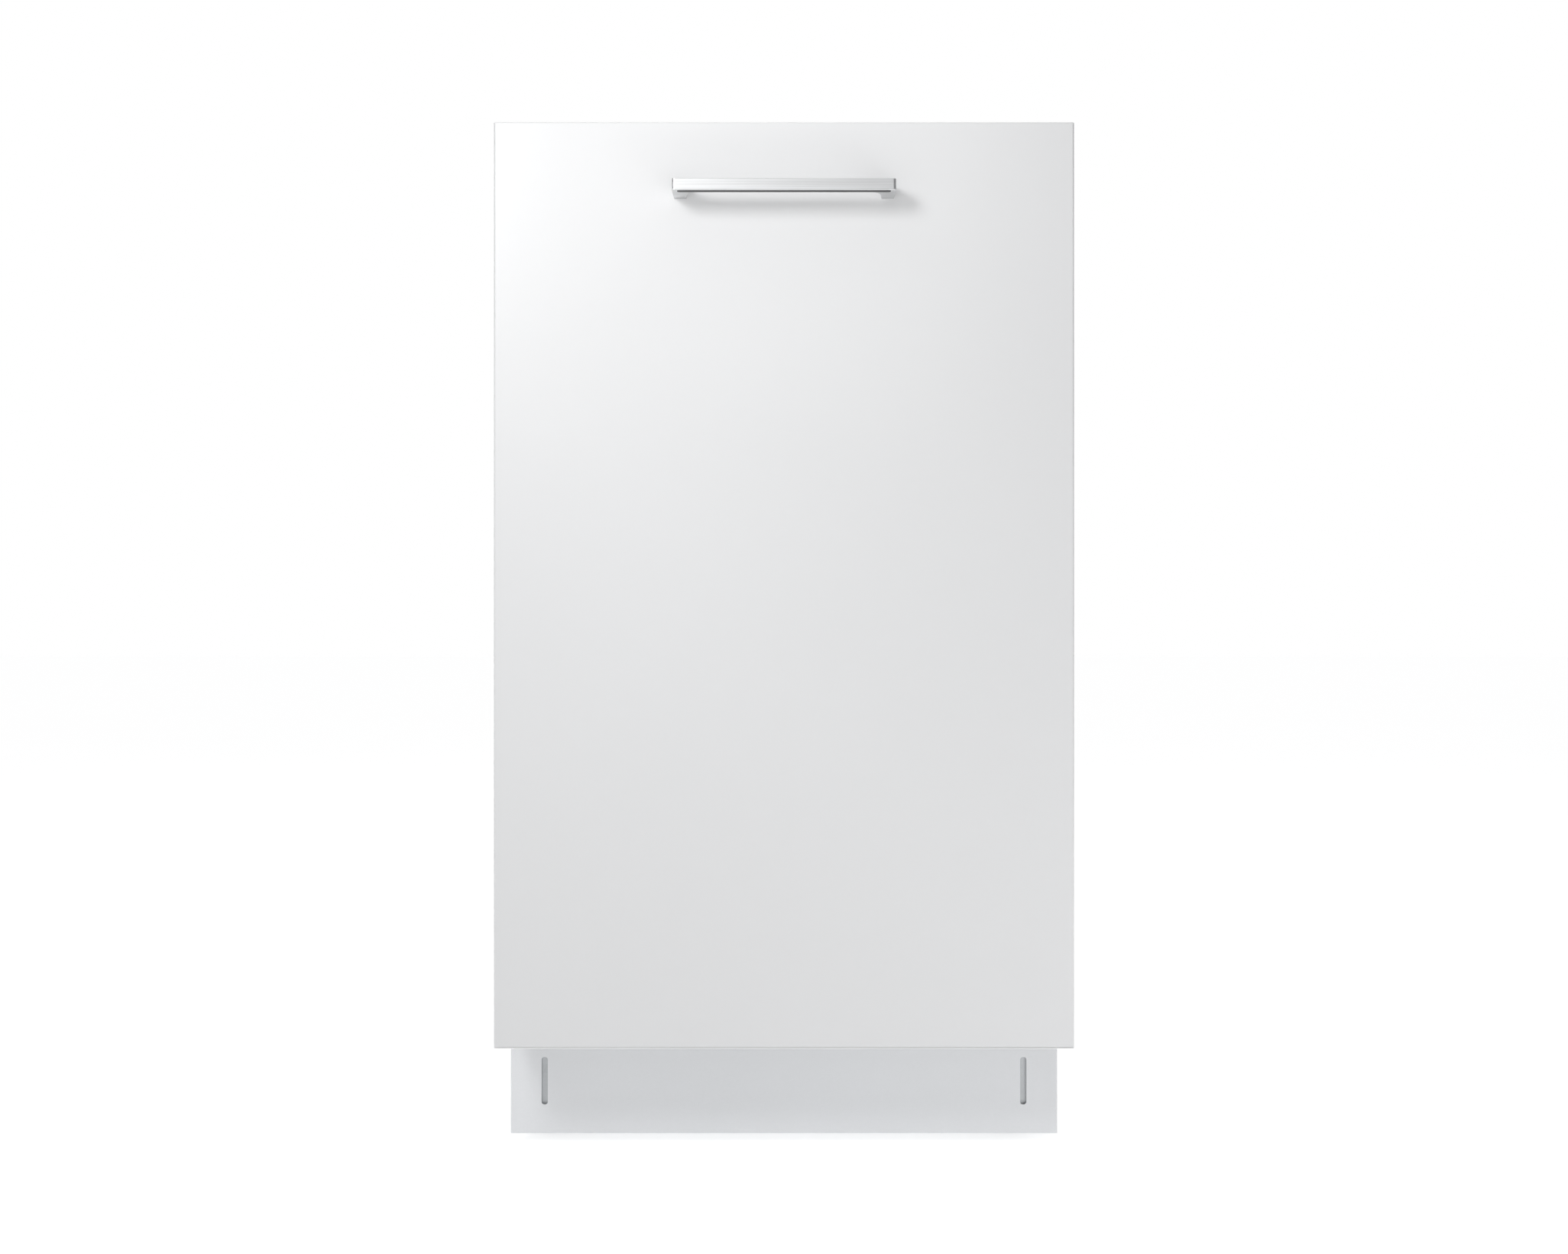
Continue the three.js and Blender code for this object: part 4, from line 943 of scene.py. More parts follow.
# ---------------------------------------------------------------- cabinet
class DISHWASHER_OT_cabinet(bpy.types.Operator):
    """Side, rear and top sheets with pressed ribs, and the screws that hold them"""

    bl_idname = "dishwasher.cabinet"
    bl_label = "Cabinet sheets"

    def execute(self, context):
        zinc, screw = galvanised(), zinc_plated()
        radius = sizes().screw_head
        skin, rib, sunk = 1.0 * MM, 0.95 * MM, 0.2 * MM

        def press(spots, facing, along, long, wide):
            """Pressed ribs on the sheet that is being made."""
            shape.add(ridges(spots, facing, along, long, wide, rib), zinc)

        def screws(spots, facing):
            shape.add(heads(spots, facing, radius, 0.7 * MM, 0.42, 0.35 * MM), screw)
        for side, name in ((-1, "left_side_panel"), (1, "right_side_panel")):
            lo, hi = corners(name)
            at = side * (224 * MM - skin)
            inner, outer = sorted((side * 222.4 * MM, at))
            top = hi.z - 0.4 * MM
            shape = Shape()
            shape.add(slab(rectangle(lo.y, hi.y, lo.z, top, 3 * MM), "X", inner, outer, 0.25 * MM), zinc)
            fold = sorted((side * 214 * MM, side * 222.8 * MM))
            for y, low, deep in ((lo.y, 192 * MM, 1 * MM), (hi.y - 1.3 * MM, lo.z, 1 * MM)):
                shape.add(block((fold[0], y, low), (fold[1], y + deep, top), 0.25 * MM), zinc)
            facing = (side, 0, 0)
            tall = [(at, y, 0.47) for y in steps(lo.y + 0.09, hi.y - 0.09, 4)]
            press(tall, facing, (0, 0, 1), 0.44, 16 * MM)
            press([(at, y, z) for y in (lo.y + 0.17, hi.y - 0.17) for z in (0.152, 0.762)],
                  facing, (0, 1, 0), 0.15, 12 * MM)
            screws([(at - side * sunk, y, z) for y in (lo.y + 9 * MM, hi.y - 9 * MM)
                    for z in (0.118, 0.30, 0.46, 0.62, 0.801)], facing)
            shape.put(name.replace("panel", "sheet"), "cabinet", "galvanised_sheet", name)

        lo, hi = corners("rear_panel")
        shape, at, facing = Shape(), hi.y - skin, (0, 1, 0)
        shape.add(slab(rectangle(lo.x, hi.x, lo.z, hi.z, 3 * MM), "Y", lo.y - 0.5 * MM, at, 0.2 * MM), zinc)
        tall = [(x, at, z) for x in (-0.12, 0, 0.12) for z in (0.28, 0.62)]
        press(tall, facing, (0, 0, 1), 0.26, 16 * MM)
        press([(0, at, z) for z in (0.45, 0.785)], facing, (1, 0, 0), 0.36, 14 * MM)
        press([(0, at, z) for z in steps(0.738, 0.764, 4)], facing, (1, 0, 0), 0.08, 4 * MM)
        spots = [(x, at - sunk, z) for x in (-0.215, 0.215) for z in (0.118, 0.29, 0.46, 0.63, 0.80)]
        screws(spots + [(x, at - sunk, z) for x in (-0.11, 0, 0.11) for z in (0.113, 0.806)], facing)
        shape.put("rear_sheet", "cabinet", "galvanised_sheet", "rear_panel")

        lo, hi = corners("top_cover")
        shape, at, facing = Shape(), hi.z - skin, (0, 0, 1)
        shape.add(slab(rectangle(lo.x, hi.x, lo.y, hi.y, 4 * MM), "Z", hi.z - 1.5 * MM, at, 0.2 * MM), zinc)
        shape.add(block((-0.2128, lo.y, lo.z), (0.2128, lo.y + 1 * MM, hi.z - 1.2 * MM), 0.2 * MM), zinc)
        press([(x, y, at) for x in (-0.13, 0, 0.13) for y in (-0.06, 0.17)], facing, (0, 1, 0), 0.17, 18 * MM)
        spots = [(x, y, at - sunk) for x in (-0.212, 0.212) for y in steps(lo.y + 0.02, hi.y - 0.02, 4)]
        screws(spots + [(x, hi.y - 9 * MM, at - sunk) for x in (-0.1, 0.1)], facing)
        shape.put("top_sheet", "cabinet", "galvanised_sheet", "top_cover")
        return {"FINISHED"}


class DISHWASHER_OT_insulation(bpy.types.Operator):
    """Needled felt blanket over the tub, slightly uneven"""

    bl_idname = "dishwasher.insulation"
    bl_label = "Felt blanket"

    def execute(self, context):
        mesh = softened("insulation_blanket", 2.2 * MM, 3)
        work = bmesh.new()
        work.from_mesh(mesh)
        long = [e for e in work.edges if e.calc_length() > 0.03]
        bmesh.ops.subdivide_edges(work, edges=long, cuts=7, use_grid_fill=True)
        bmesh.ops.triangulate(work, faces=work.faces)
        for vert in work.verts:
            lift = noise.noise(vert.co * 34) + 0.5 * noise.noise(vert.co * 90)
            vert.co -= vert.normal * (0.45 + 0.4 * lift) * MM
        work.to_mesh(mesh)
        work.free()
        blanket = Shape().add(mesh, felt()).put("felt_blanket", "cabinet", "felt", "insulation_blanket")
        return {"FINISHED"}


class DISHWASHER_OT_base(bpy.types.Operator):
    """Moulded base pan with ribs, and its four threaded feet"""

    bl_idname = "dishwasher.base"
    bl_label = "Base and feet"

    def execute(self, context):
        lo, hi = corners("base_pan")

        def ribs(shape):
            low, high = lo.z + 3 * MM, hi.z - 9 * MM
            z, tall = (low + high) / 2, high - low
            for x in (lo.x - 0.3 * MM, hi.x + 0.3 * MM):
                spots = [(x, y, z) for y in steps(-0.12, hi.y - 0.02, 16)]
                shape.add(slats(spots, (1.6 * MM, 2.2 * MM, tall)), grey_plastic())
            spots = [(x, hi.y, z) for x in (-0.2, -0.185, -0.115, -0.1, -0.07, 0.07, 0.1, 0.185, 0.2)]
            shape.add(slats(spots, (2.2 * MM, 1.8 * MM, tall)), grey_plastic())
            spots = [(x, -0.02, lo.z - 0.6 * MM) for x in steps(-0.15, 0.15, 9)]
            shape.add(slats(spots, (2 * MM, 0.24, 1.6 * MM)), grey_plastic())
        swept("base_pan", "grey_plastic", grey_plastic(), 0.6 * MM, "moulded_base", "cabinet", ribs)

        pad = [(0, 0), (17.6, 0), (19, 1.6), (19, 5.4), (10.5, 8), (9, 9.2), (9, 12), (4.2, 12.4), (0, 12.4)]
        stud = [(0, 12), (4.45, 12), (4.45, 90.6), (3.4, 91.8), (0, 91.8)]
        thread = 76 * MM
        for end, side, _ in STATIONS:
            name = f"{end}_{side}_foot"
            x, y, _ = middle(name)
            foot = Shape()
            foot.add(spun(pad, (0, .5, .6, 1.5, 2, .6, .6, .3, 0), (x, y, 0), "Z", 36, 3), black_plastic())
            foot.add(lathed(in_mm(stud), (x, y, 0), sides=20), zinc_plated())
            values = {"Turns": thread / sizes().thread_pitch, "Coil Radius": 4.45 * MM, "Height": thread,
                      "Wire Radius": 0.5 * MM}
            foot.add(grown(coils(), values, [(x, y, 13.5 * MM)]), zinc_plated())
            spots = around(x, y, 3.6 * MM, 17.4 * MM, 12)
            foot.add(heads(spots, (0, 0, 1), 1.2 * MM, 3.6 * MM, 0.3, 0.3 * MM, 8), black_plastic())
            foot.put(f"{end}_{side}_levelling_foot", name, "black_plastic", name)
        return {"FINISHED"}


# ---------------------------------------------------------------- tub
class DISHWASHER_OT_tub(bpy.types.Operator):
    """Deep-drawn stainless tub with pressed ribs, its seal and the latch strike"""

    bl_idname = "dishwasher.tub"
    bl_label = "Tub and seal"

    def execute(self, context):
        lo, hi = corners("tub")
        steel = stainless("Y")
        wide, floor, ceiling = 200 * MM, 124 * MM, 790 * MM
        back, cove, thick = hi.y - 1 * MM, 14 * MM, 0.9 * MM

        def hoop(inset, y, corner):
            loop = rectangle(-wide + inset, wide - inset, floor + inset, ceiling - inset, corner, 6)
            return [(p.x, y, p.y) for p in loop]
        quarter = [math.pi / 2 * i / 6 for i in range(7)]
        inner = [hoop(0, lo.y, 12 * MM)]
        inner += [hoop(cove * (1 - math.cos(t)), back - cove + cove * math.sin(t), 12.5 * MM)
                  for t in quarter]
        outer = [hoop(-thick + cove * (1 - math.cos(t)), back - cove + (cove + thick) * math.sin(t),
                      13 * MM) for t in reversed(quarter)]
        outer += [hoop(-thick, lo.y, 12.8 * MM)]
        work = bmesh.new()
        hoops = [[work.verts.new(p) for p in loop] for loop in inner + outer]
        for i, (a, b) in enumerate(zip(hoops, hoops[1:] + hoops[:1]), 1):
            if i == len(inner):
                work.faces.new(a)
                work.faces.new(b)
                continue
            for k in range(len(a)):
                j = (k + 1) % len(a)
                work.faces.new([a[k], a[j], b[j], b[k]])
        bowl = meshed(work)
        holes = []
        for node, r in (("sump", 90 * MM), ("salt_cap", 32 * MM)):
            x, y, _ = middle(node)
            holes.append(lathed([(0, 0.11), (r, 0.11), (r, 0.135), (0, 0.135)], (x, y, 0), sides=48))
        shape = Shape().add(carved(bowl, *holes), steel)
        flange = rectangle(lo.x, hi.x, 114.3 * MM, 800 * MM, 12 * MM)
        mouth = rectangle(-wide + 0.1 * MM, wide - 0.1 * MM, floor + 0.1 * MM, ceiling - 0.1 * MM, 12 * MM)
        shape.add(slab(flange, "Y", lo.y, lo.y + 1 * MM, 0.35 * MM, [mouth]), steel)
        for side in (-1, 1):
            at = side * wide
            spots = [(at, 0.03, z) for z in (0.205, 0.325, 0.43, 0.60, 0.70)]
            shape.add(ridges(spots, (-side, 0, 0), (0, 1, 0), 0.36, 15 * MM, 1.5 * MM), steel)
        spots = [(x, back, z) for x in (-0.115, 0.115) for z in (0.27, 0.62)]
        shape.add(ridges(spots, (0, -1, 0), (0, 0, 1), 0.2, 20 * MM, 1.5 * MM), steel)
        spots = [(x, 0.04, ceiling) for x in (-0.13, -0.07, 0.07, 0.13)]
        shape.add(ridges(spots, (0, 0, -1), (0, 1, 0), 0.3, 14 * MM, 1.2 * MM), steel)
        spots = [(x, 0.03, floor) for x in (-0.165, 0.165)]
        shape.add(ridges(spots, (0, 0, 1), (0, 1, 0), 0.34, 6 * MM, 0.9 * MM), steel)
        shape.put("drawn_tub", "cabinet", "stainless_steel", "tub")

        lo, hi = corners("tub_seal")
        outer = rectangle(lo.x, hi.x, lo.z, hi.z, 12 * MM)
        hole = rectangle(-202 * MM, 202 * MM, 122 * MM, 792 * MM, 12 * MM)
        lip = rectangle(-204.6 * MM, 204.6 * MM, 119.4 * MM, 794.6 * MM, 12 * MM)
        seal = Shape()
        seal.add(slab(lip, "Y", lo.y, hi.y, 1.1 * MM, [hole], 3), rubber())
        seal.add(slab(outer, "Y", lo.y + 0.9 * MM, hi.y, 0.8 * MM,
                      [rectangle(-204.2 * MM, 204.2 * MM, 119.8 * MM, 794.2 * MM, 12 * MM)], 3), rubber())
        seal.put("lipped_seal", "cabinet", "seal_rubber", "tub_seal")

        swept("latch_strike", "zinc_plated_steel", zinc_plated(), 0.25 * MM, "strike_plate", "cabinet")
        return {"FINISHED"}


class DISHWASHER_OT_rails(bpy.types.Operator):
    """Telescopic rails of the upper rack, with their stops and rollers"""

    bl_idname = "dishwasher.rails"
    bl_label = "Rack rails"

    def execute(self, context):
        for kind, body in (("outer", "cabinet"), ("inner", "inner_rails")):
            for side, sign in SIDES:
                node = f"{side}_{kind}_rail"
                lo, hi = corners(node)
                near = (lo if sign > 0 else hi).x
                far = (hi if sign > 0 else lo).x

                def stops(shape):
                    z = (lo.z + hi.z) / 2
                    spots = [(far - sign * 1.5 * MM, y, z) for y in (-0.15, -0.03, 0.09, 0.19)]
                    shape.add(heads(spots, (-sign, 0, 0), 3.4 * MM, 0.9 * MM, 0.5, 0.4 * MM), zinc_plated())

                def cap(shape):
                    low, high = sorted((near + sign * 0.2 * MM, near + sign * 5.8 * MM))
                    shape.add(block((low, lo.y, lo.z + 0.4 * MM), (high, lo.y + 9 * MM, hi.z - 0.4 * MM),
                                    1.2 * MM, 3), wheel_plastic())
                swept(node, "stainless_steel", stainless("Y"), 0.3 * MM, f"{side}_{kind}_slide", body,
                      stops if kind == "outer" else cap)
        return {"FINISHED"}


class DISHWASHER_OT_hinges(bpy.types.Operator):
    """Hinge brackets, arms and the coil springs that balance the door"""

    bl_idname = "dishwasher.hinges"
    bl_label = "Hinges and springs"

    def execute(self, context):
        for side, sign in SIDES:
            def rivets(shape):
                spots = [(sign * 217 * MM, y, 0.1105) for y in (-0.188, -0.17)]
                shape.add(heads(spots, (sign, 0, 0), 2.4 * MM, 0.5 * MM, 0.4, 0.1 * MM, 12), zinc_plated())

            def screws(shape):
                spots = [(sign * 220.35 * MM, -0.231, z) for z in (0.16, 0.215, 0.27)]
                shape.add(heads(spots, (sign, 0, 0), 3.2 * MM, 1.0 * MM, 0.45, 0.4 * MM, 12), zinc_plated())
            for node, name, body, extra in (("hinge_bracket", "hinge_plate", "cabinet", rivets),
                                            ("hinge_arm", "door_arm", "door", screws)):
                swept(f"{side}_{node}", "zinc_plated_steel", zinc_plated(), 0.25 * MM, f"{side}_{name}",
                      body, extra)

            lo, hi = corners(f"{side}_hinge_spring")
            x, y, _ = middle(f"{side}_hinge_spring")
            wire = sizes().spring_wire / 2
            radius = (hi.x - lo.x) / 2 - wire
            low, high = lo.z + 9 * MM, hi.z - 9 * MM
            spring = Shape()
            values = {"Turns": (high - low) / (2.15 * wire), "Coil Radius": radius, "Height": high - low,
                      "Wire Radius": wire}
            spring.add(grown(coils(), values, [(x, y, low)]), zinc_plated())
            foot = [(x + radius, y, low), (x, y, low - 1 * MM), (x, y, lo.z + wire)]
            top = [(x + radius, y, high), (x, y, high + 1 * MM), (x, y, hi.z - wire)]
            spring.add(wires([(foot, False), (top, False)], wire, 2 * MM), zinc_plated())
            coil = spring.put(f"{side}_coil_spring", None, "zinc_plated_steel", f"{side}_hinge_spring")
            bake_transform(coil)
        return {"FINISHED"}


# ---------------------------------------------------------------- door
class DISHWASHER_OT_door(bpy.types.Operator):
    """Outer door sheet, stainless inner liner and the latch"""

    bl_idname = "dishwasher.door"
    bl_label = "Door sheets and latch"

    def execute(self, context):
        lo, hi = corners("door_sheet")

        def edges(shape):
            for side in (-1, 1):
                x = side * (hi.x - 0.1 * MM)
                spots = [(x, (lo.y + hi.y) / 2 - 4 * MM, z) for z in steps(lo.z + 0.05, hi.z - 0.05, 5)]
                shape.add(heads(spots, (side, 0, 0), 3 * MM, 0.8 * MM, 0.42, 0.4 * MM), zinc_plated())
        swept("door_sheet", "galvanised_sheet", galvanised(), 0.3 * MM, "outer_door_sheet", "door", edges)

        lo, hi = corners("door_liner")
        face = -209 * MM
        steel = stainless("X")
        plate = rectangle(lo.x, hi.x, lo.z, hi.z, 6 * MM)
        cut_lo, cut_hi = corners("dispenser")
        hole = rectangle(cut_lo.x + 3 * MM, cut_hi.x - 3 * MM, cut_lo.z + 3 * MM, cut_hi.z - 3 * MM, 5 * MM)
        liner = Shape().add(slab(plate, "Y", face - 1 * MM, face, 0.35 * MM, [hole]), steel)
        rim = 7 * MM
        loops = [rectangle(-0.187, 0.187, 0.143, 0.772, 26 * MM, 8),
                 rectangle(cut_lo.x - rim, cut_hi.x + rim, cut_lo.z - rim, cut_hi.z + rim, 10 * MM, 6)]
        lines = [([(p.x, face - 0.9 * MM, p.y) for p in loop], True) for loop in loops]
        liner.add(wires(lines, 1.9 * MM, 0.0, 12), steel)
        for side in (-1, 1):
            x = side * 182 * MM
            ridge = rectangle(x - 6.5 * MM, x + 6.5 * MM, 136 * MM, 412 * MM, 5 * MM, 6)
            liner.add(slab(ridge, "Y", face - 1 * MM, hi.y, 1.8 * MM, rings=4), steel)
        spots = [(x, face, z) for x in (-0.09, 0.09) for z in (0.235, 0.60)]
        liner.add(ridges(spots, (0, 1, 0), (0, 0, 1), 0.13, 14 * MM, 1.3 * MM), steel)
        spots = [(x, face + 0.2 * MM, z) for x in (-0.206, 0.206) for z in (0.15, 0.35, 0.55, 0.74)]
        liner.add(heads(spots, (0, 1, 0), 3 * MM, 0.5 * MM, 0.5, 0.4 * MM), zinc_plated())
        liner.put("pressed_liner", "door", "stainless_steel", "door_liner")

        swept("latch", "black_plastic", black_plastic(), 0.5 * MM, "latch_case", "door")
        return {"FINISHED"}


class DISHWASHER_OT_controls(bpy.types.Operator):
    """Control strip on the door's top edge, with its display, lamps and three buttons"""

    bl_idname = "dishwasher.controls"
    bl_label = "Control strip"

    def execute(self, context):
        lo, hi = corners("control_panel")
        y = (lo.y + hi.y) / 2

        def display(shape):
            top = hi.z
            window = rectangle(-0.052, 0.052, y - 9 * MM, y + 9 * MM, 3 * MM)
            shape.add(slab(window, "Z", top - 0.6 * MM, top + 0.35 * MM, 0.3 * MM), dark_glass())
            bezel = rectangle(-0.0535, 0.0535, y - 10.5 * MM, y + 10.5 * MM, 4 * MM)
            shape.add(slab(bezel, "Z", top - 0.6 * MM, top + 0.2 * MM, 0.2 * MM, [window]), satin_aluminium())
            lamps = [(x, y, top + 0.3 * MM) for x in steps(-0.036, 0.036, 7)]
            shape.add(heads(lamps, (0, 0, 1), 1.1 * MM, 0.2 * MM, 0.5, 0.02 * MM, 12), indicator())
            lamps = [(x, y, top + 0.05 * MM) for x in (-0.166, -0.122, 0.166)]
            shape.add(heads(lamps, (0, 0, 1), 1.0 * MM, 0.3 * MM, 0.5, 0.02 * MM, 12), indicator())
            vents = [(x, y, top + 0.05 * MM) for x in steps(0.075, 0.15, 11)]
            shape.add(slats(vents, (1.2 * MM, 14 * MM, 0.4 * MM)), black_plastic())
        swept("control_panel", "dark_gloss_plastic", dark_gloss(), 0.55 * MM, "control_strip", "door",
              display)

        for name in ("power_button", "program_button", "start_button"):
            x, y, _ = middle(name)
            top = corners(name)[1].z
            outline = [(0, -8.8), (7.5, -8.8), (7.5, -3.8), (6, -3.8), (6, 0), (4.6, 0), (3.4, -.5),
                       (0, -.65)]
            button = Shape()
            button.add(spun(outline, (0, .4, .4, .3, .6, .4, .8, 0), (x, y, top)), dark_gloss())
            ring = in_mm([(5.2, -.15), (5.35, .02), (5.05, .02)])
            button.add(lathed(ring, (x, y, top), sides=40, ring=True), satin_aluminium())
            button.put(name.replace("button", "key"), name, "dark_gloss_plastic", name)
        return {"FINISHED"}


class DISHWASHER_OT_dispenser(bpy.types.Operator):
    """Detergent dispenser with its sprung lid and the rinse-aid cap"""

    bl_idname = "dishwasher.dispenser"
    bl_label = "Dispenser"

    def execute(self, context):
        lo, hi = corners("dispenser")
        face = hi.y

        def details(shape):
            window = in_mm([(0, -.4), (3.2, -.4), (3.2, .5), (2, .8), (0, .9)])
            shape.add(lathed(window, (0.048, face, 0.428), "Y", 24), dark_glass())
            ticks = [(x, face, 0.366) for x in steps(0.038, 0.058, 5)]
            shape.add(slats(ticks, (0.8 * MM, 0.5 * MM, 4 * MM)), wheel_plastic())
            loop = [(p.x, face - 0.5 * MM, p.y) for p in
                    rectangle(lo.x + 4 * MM, hi.x - 4 * MM, lo.z + 4 * MM, hi.z - 4 * MM, 5 * MM, 5)]
            shape.add(wires([(loop, True)], 0.9 * MM, 0.0, 8), grey_plastic())
            shape.add(block((0.012, face - 0.5 * MM, 0.39), (0.019, face + 3.2 * MM, 0.41), 1.1 * MM, 3),
                      wheel_plastic())
        swept("dispenser", "grey_plastic", grey_plastic(), 0.6 * MM, "dispenser_case", "door", details)

        lo, hi = corners("detergent_lid")

        def lid(shape):
            x = (lo.x + hi.x) / 2
            spots = [(x, hi.y - 0.1 * MM, z) for z in steps(lo.z + 0.012, hi.z - 0.018, 5)]
            shape.add(ridges(spots, (0, 1, 0), (1, 0, 0), hi.x - lo.x - 18 * MM, 3.4 * MM, 0.7 * MM),
                      wheel_plastic())
        swept("detergent_lid", "grey_plastic", wheel_plastic(), 0.5 * MM, "sprung_lid", "detergent_lid", lid)

        lo, hi = corners("rinse_aid_cap")
        x, _, z = middle("rinse_aid_cap")
        outline = [(0, -4.8), (14.6, -4.8), (14.9, 1.3), (12, 1.5), (10.8, .5), (0, .4)]
        cap = Shape().add(spun(outline, (0, .4, .6, .5, .6, 0), (x, face, z), "Y"), wheel_plastic())
        cap.add(block((x - 11.6 * MM, face + 0.3 * MM, z - 1.5 * MM), (x + 11.6 * MM, hi.y, z + 1.5 * MM),
                      1.1 * MM, 3), wheel_plastic())
        spots = [(a, face + 1.3 * MM, b) for a, b, _ in around(x, z, 0, 13.4 * MM, 20)]
        cap.add(heads(spots, (0, 1, 0), 0.55 * MM, 0.4 * MM, 0.5, 0.05 * MM, 8), wheel_plastic())
        cap.put("rinse_aid_knob", "rinse_aid_cap", "wheel_plastic", "rinse_aid_cap")
        return {"FINISHED"}


# ---------------------------------------------------------------- racks
def basket_wires(lo, hi, front_top, across, along):
    """Bent wires of a rack: U-shaped ones both ways, the rim and the lower frames."""
    thin, rim = sizes().rack_wire / 2, sizes().rack_rim / 2
    x0, x1 = lo.x + rim, hi.x - rim
    y0, y1 = lo.y + rim, hi.y - rim
    floor, top = lo.z + thin + 0.2 * MM, hi.z - rim
    low = front_top - rim
    out = []
    us = [([(x0, y, top), (x0, y, floor), (x1, y, floor), (x1, y, top)], False)
          for y in steps(y0 + 0.012, y1 - 0.012, along)]
    us += [([(x, y0, low), (x, y0, floor), (x, y1, floor), (x, y1, top)], False)
           for x in steps(x0 + 0.012, x1 - 0.012, across)]
    out.append(wires(us, thin))
    slope = y0 + 0.045
    hoop = [(x0, y0, low), (x1, y0, low), (x1, y0 + 0.016, low), (x1, slope, top), (x1, y1, top),
            (x0, y1, top), (x0, slope, top), (x0, y0 + 0.016, low)]
    out.append(wires([(hoop, True)], rim, 14 * MM, 10))
    loops = [level(x0, x1, y0, y1, z) for z in (lo.z * 0.55 + hi.z * 0.45, floor)]
    out.append(wires(loops, thin * 1.15, 14 * MM))
    return out


def comb_wires(xs, y, low, high, lean=0.0):
    """Upright tines with rounded tips on one cross rod."""
    thin = sizes().rack_wire / 2
    pins = [([(x, y, low), (x, y, high - 16 * MM), (x, y + lean, high - thin)], False) for x in xs]
    tips = [(x, y + lean, high - thin) for x in xs]
    rod = [straight((min(xs), y, low), (max(xs), y, low))]
    caps = grown(studs(), {"Radius": thin * 1.12, "Height": thin, "Recess": 0.7, "Recess Depth": 0.0,
                           "Sides": 10, "Turn": (0, 0, 0)}, tips)
    return [wires(pins, thin, 20 * MM), wires(rod, thin * 1.1, 0.0), caps]


TINE_XS = [x * MM for x in steps(-158, 74, 7)]


class DISHWASHER_OT_lower_rack(bpy.types.Operator):
    """Lower rack of bent wire with its wheel brackets, standing tines and folding tines"""

    bl_idname = "dishwasher.lower_rack"
    bl_label = "Lower rack and tines"

    def execute(self, context):
        coat = rack_coating()
        lo, hi = corners("lower_rack")
        lo, hi = Vector((-0.172, lo.y, 0.152)), Vector((0.172, hi.y, hi.z))
        rack = Shape()
        for mesh in basket_wires(lo, hi, 0.262, 9, 13):
            rack.add(mesh, coat)
        axle = in_mm([(0, 170.5), (3, 170.5), (3, 186.8), (4.4, 187.3), (4, 188.1), (0, 188.3)])
        for end, side, sign in STATIONS:
            _, y, z = middle(f"{end}_{side}_wheel")
            x0, x1 = sorted((sign * 0.1712, sign * 0.1758))
            bracket = [(-10, 28), (-9, -4), (0, -8), (9, -4), (10, 28)]
            rack.add(slab(filleted([(y + v * MM, z + w * MM) for v, w in bracket], 4 * MM, 4),
                          "X", x0, x1, 0.8 * MM, rings=3), wheel_plastic())
            rack.add(lathed([(r, h * sign) for r, h in axle], (0, y, z), "X", 24), wheel_plastic())
        rack.put("wire_lower_rack", "lower_rack", "rack_coating", "lower_rack")

        lo, hi = corners("plate_tines")
        rows = Shape()
        low = lo.z + 1.9 * MM
        for y in (-0.118, -0.046, 0.026):
            for mesh in comb_wires(TINE_XS, y, low, hi.z, 5 * MM):
                rows.add(mesh, coat)
        ties = [straight((x, -0.118, low), (x, 0.026, low)) for x in (TINE_XS[0], TINE_XS[-1])]
        rows.add(wires(ties, sizes().rack_wire / 2, 0.0), coat)
        rows.put("standing_tines", "lower_rack", "rack_coating", "plate_tines")

        lo, hi = corners("folding_tines")
        comb = Shape()
        y = (lo.y + hi.y) / 2
        for mesh in comb_wires(TINE_XS, y, lo.z + 2 * MM, hi.z):
            comb.add(mesh, coat)
        x = (TINE_XS[0] + TINE_XS[1]) / 2
        comb.add(block((x - 6 * MM, y - 1.9 * MM, lo.z + 0.1 * MM),
                       (x + 6 * MM, y + 1.9 * MM, lo.z + 3.9 * MM), 1 * MM, 3), wheel_plastic())
        comb.put("hinged_tines", "folding_tines", "rack_coating", "folding_tines")

        half = [(3.4, -4.4), (6.5, -4.4), (6.5, -2), (11.2, -2), (11.6, -4.3), (14.6, -4.3)]
        tread = filleted([*half, (14.9, 0), *((r, -h) for r, h in reversed(half))], 0.6, 3)
        for end, side, _ in STATIONS:
            name = f"{end}_{side}_wheel"
            place = middle(name)
            wheel = Shape()
            wheel.add(lathed(in_mm(tread), place, "X", 48, True), wheel_plastic())
            for i in range(6):
                rib = block((-3.6 * MM, -0.8 * MM, 6 * MM), (3.6 * MM, 0.8 * MM, 11.8 * MM), 0.4 * MM)
                rib.transform(Matrix.Translation(place) @ Matrix.Rotation(math.tau * i / 6, 4, "X"))
                wheel.add(rib, wheel_plastic())
            wheel.put(f"{end}_{side}_roller", name, "wheel_plastic", name)
        return {"FINISHED"}


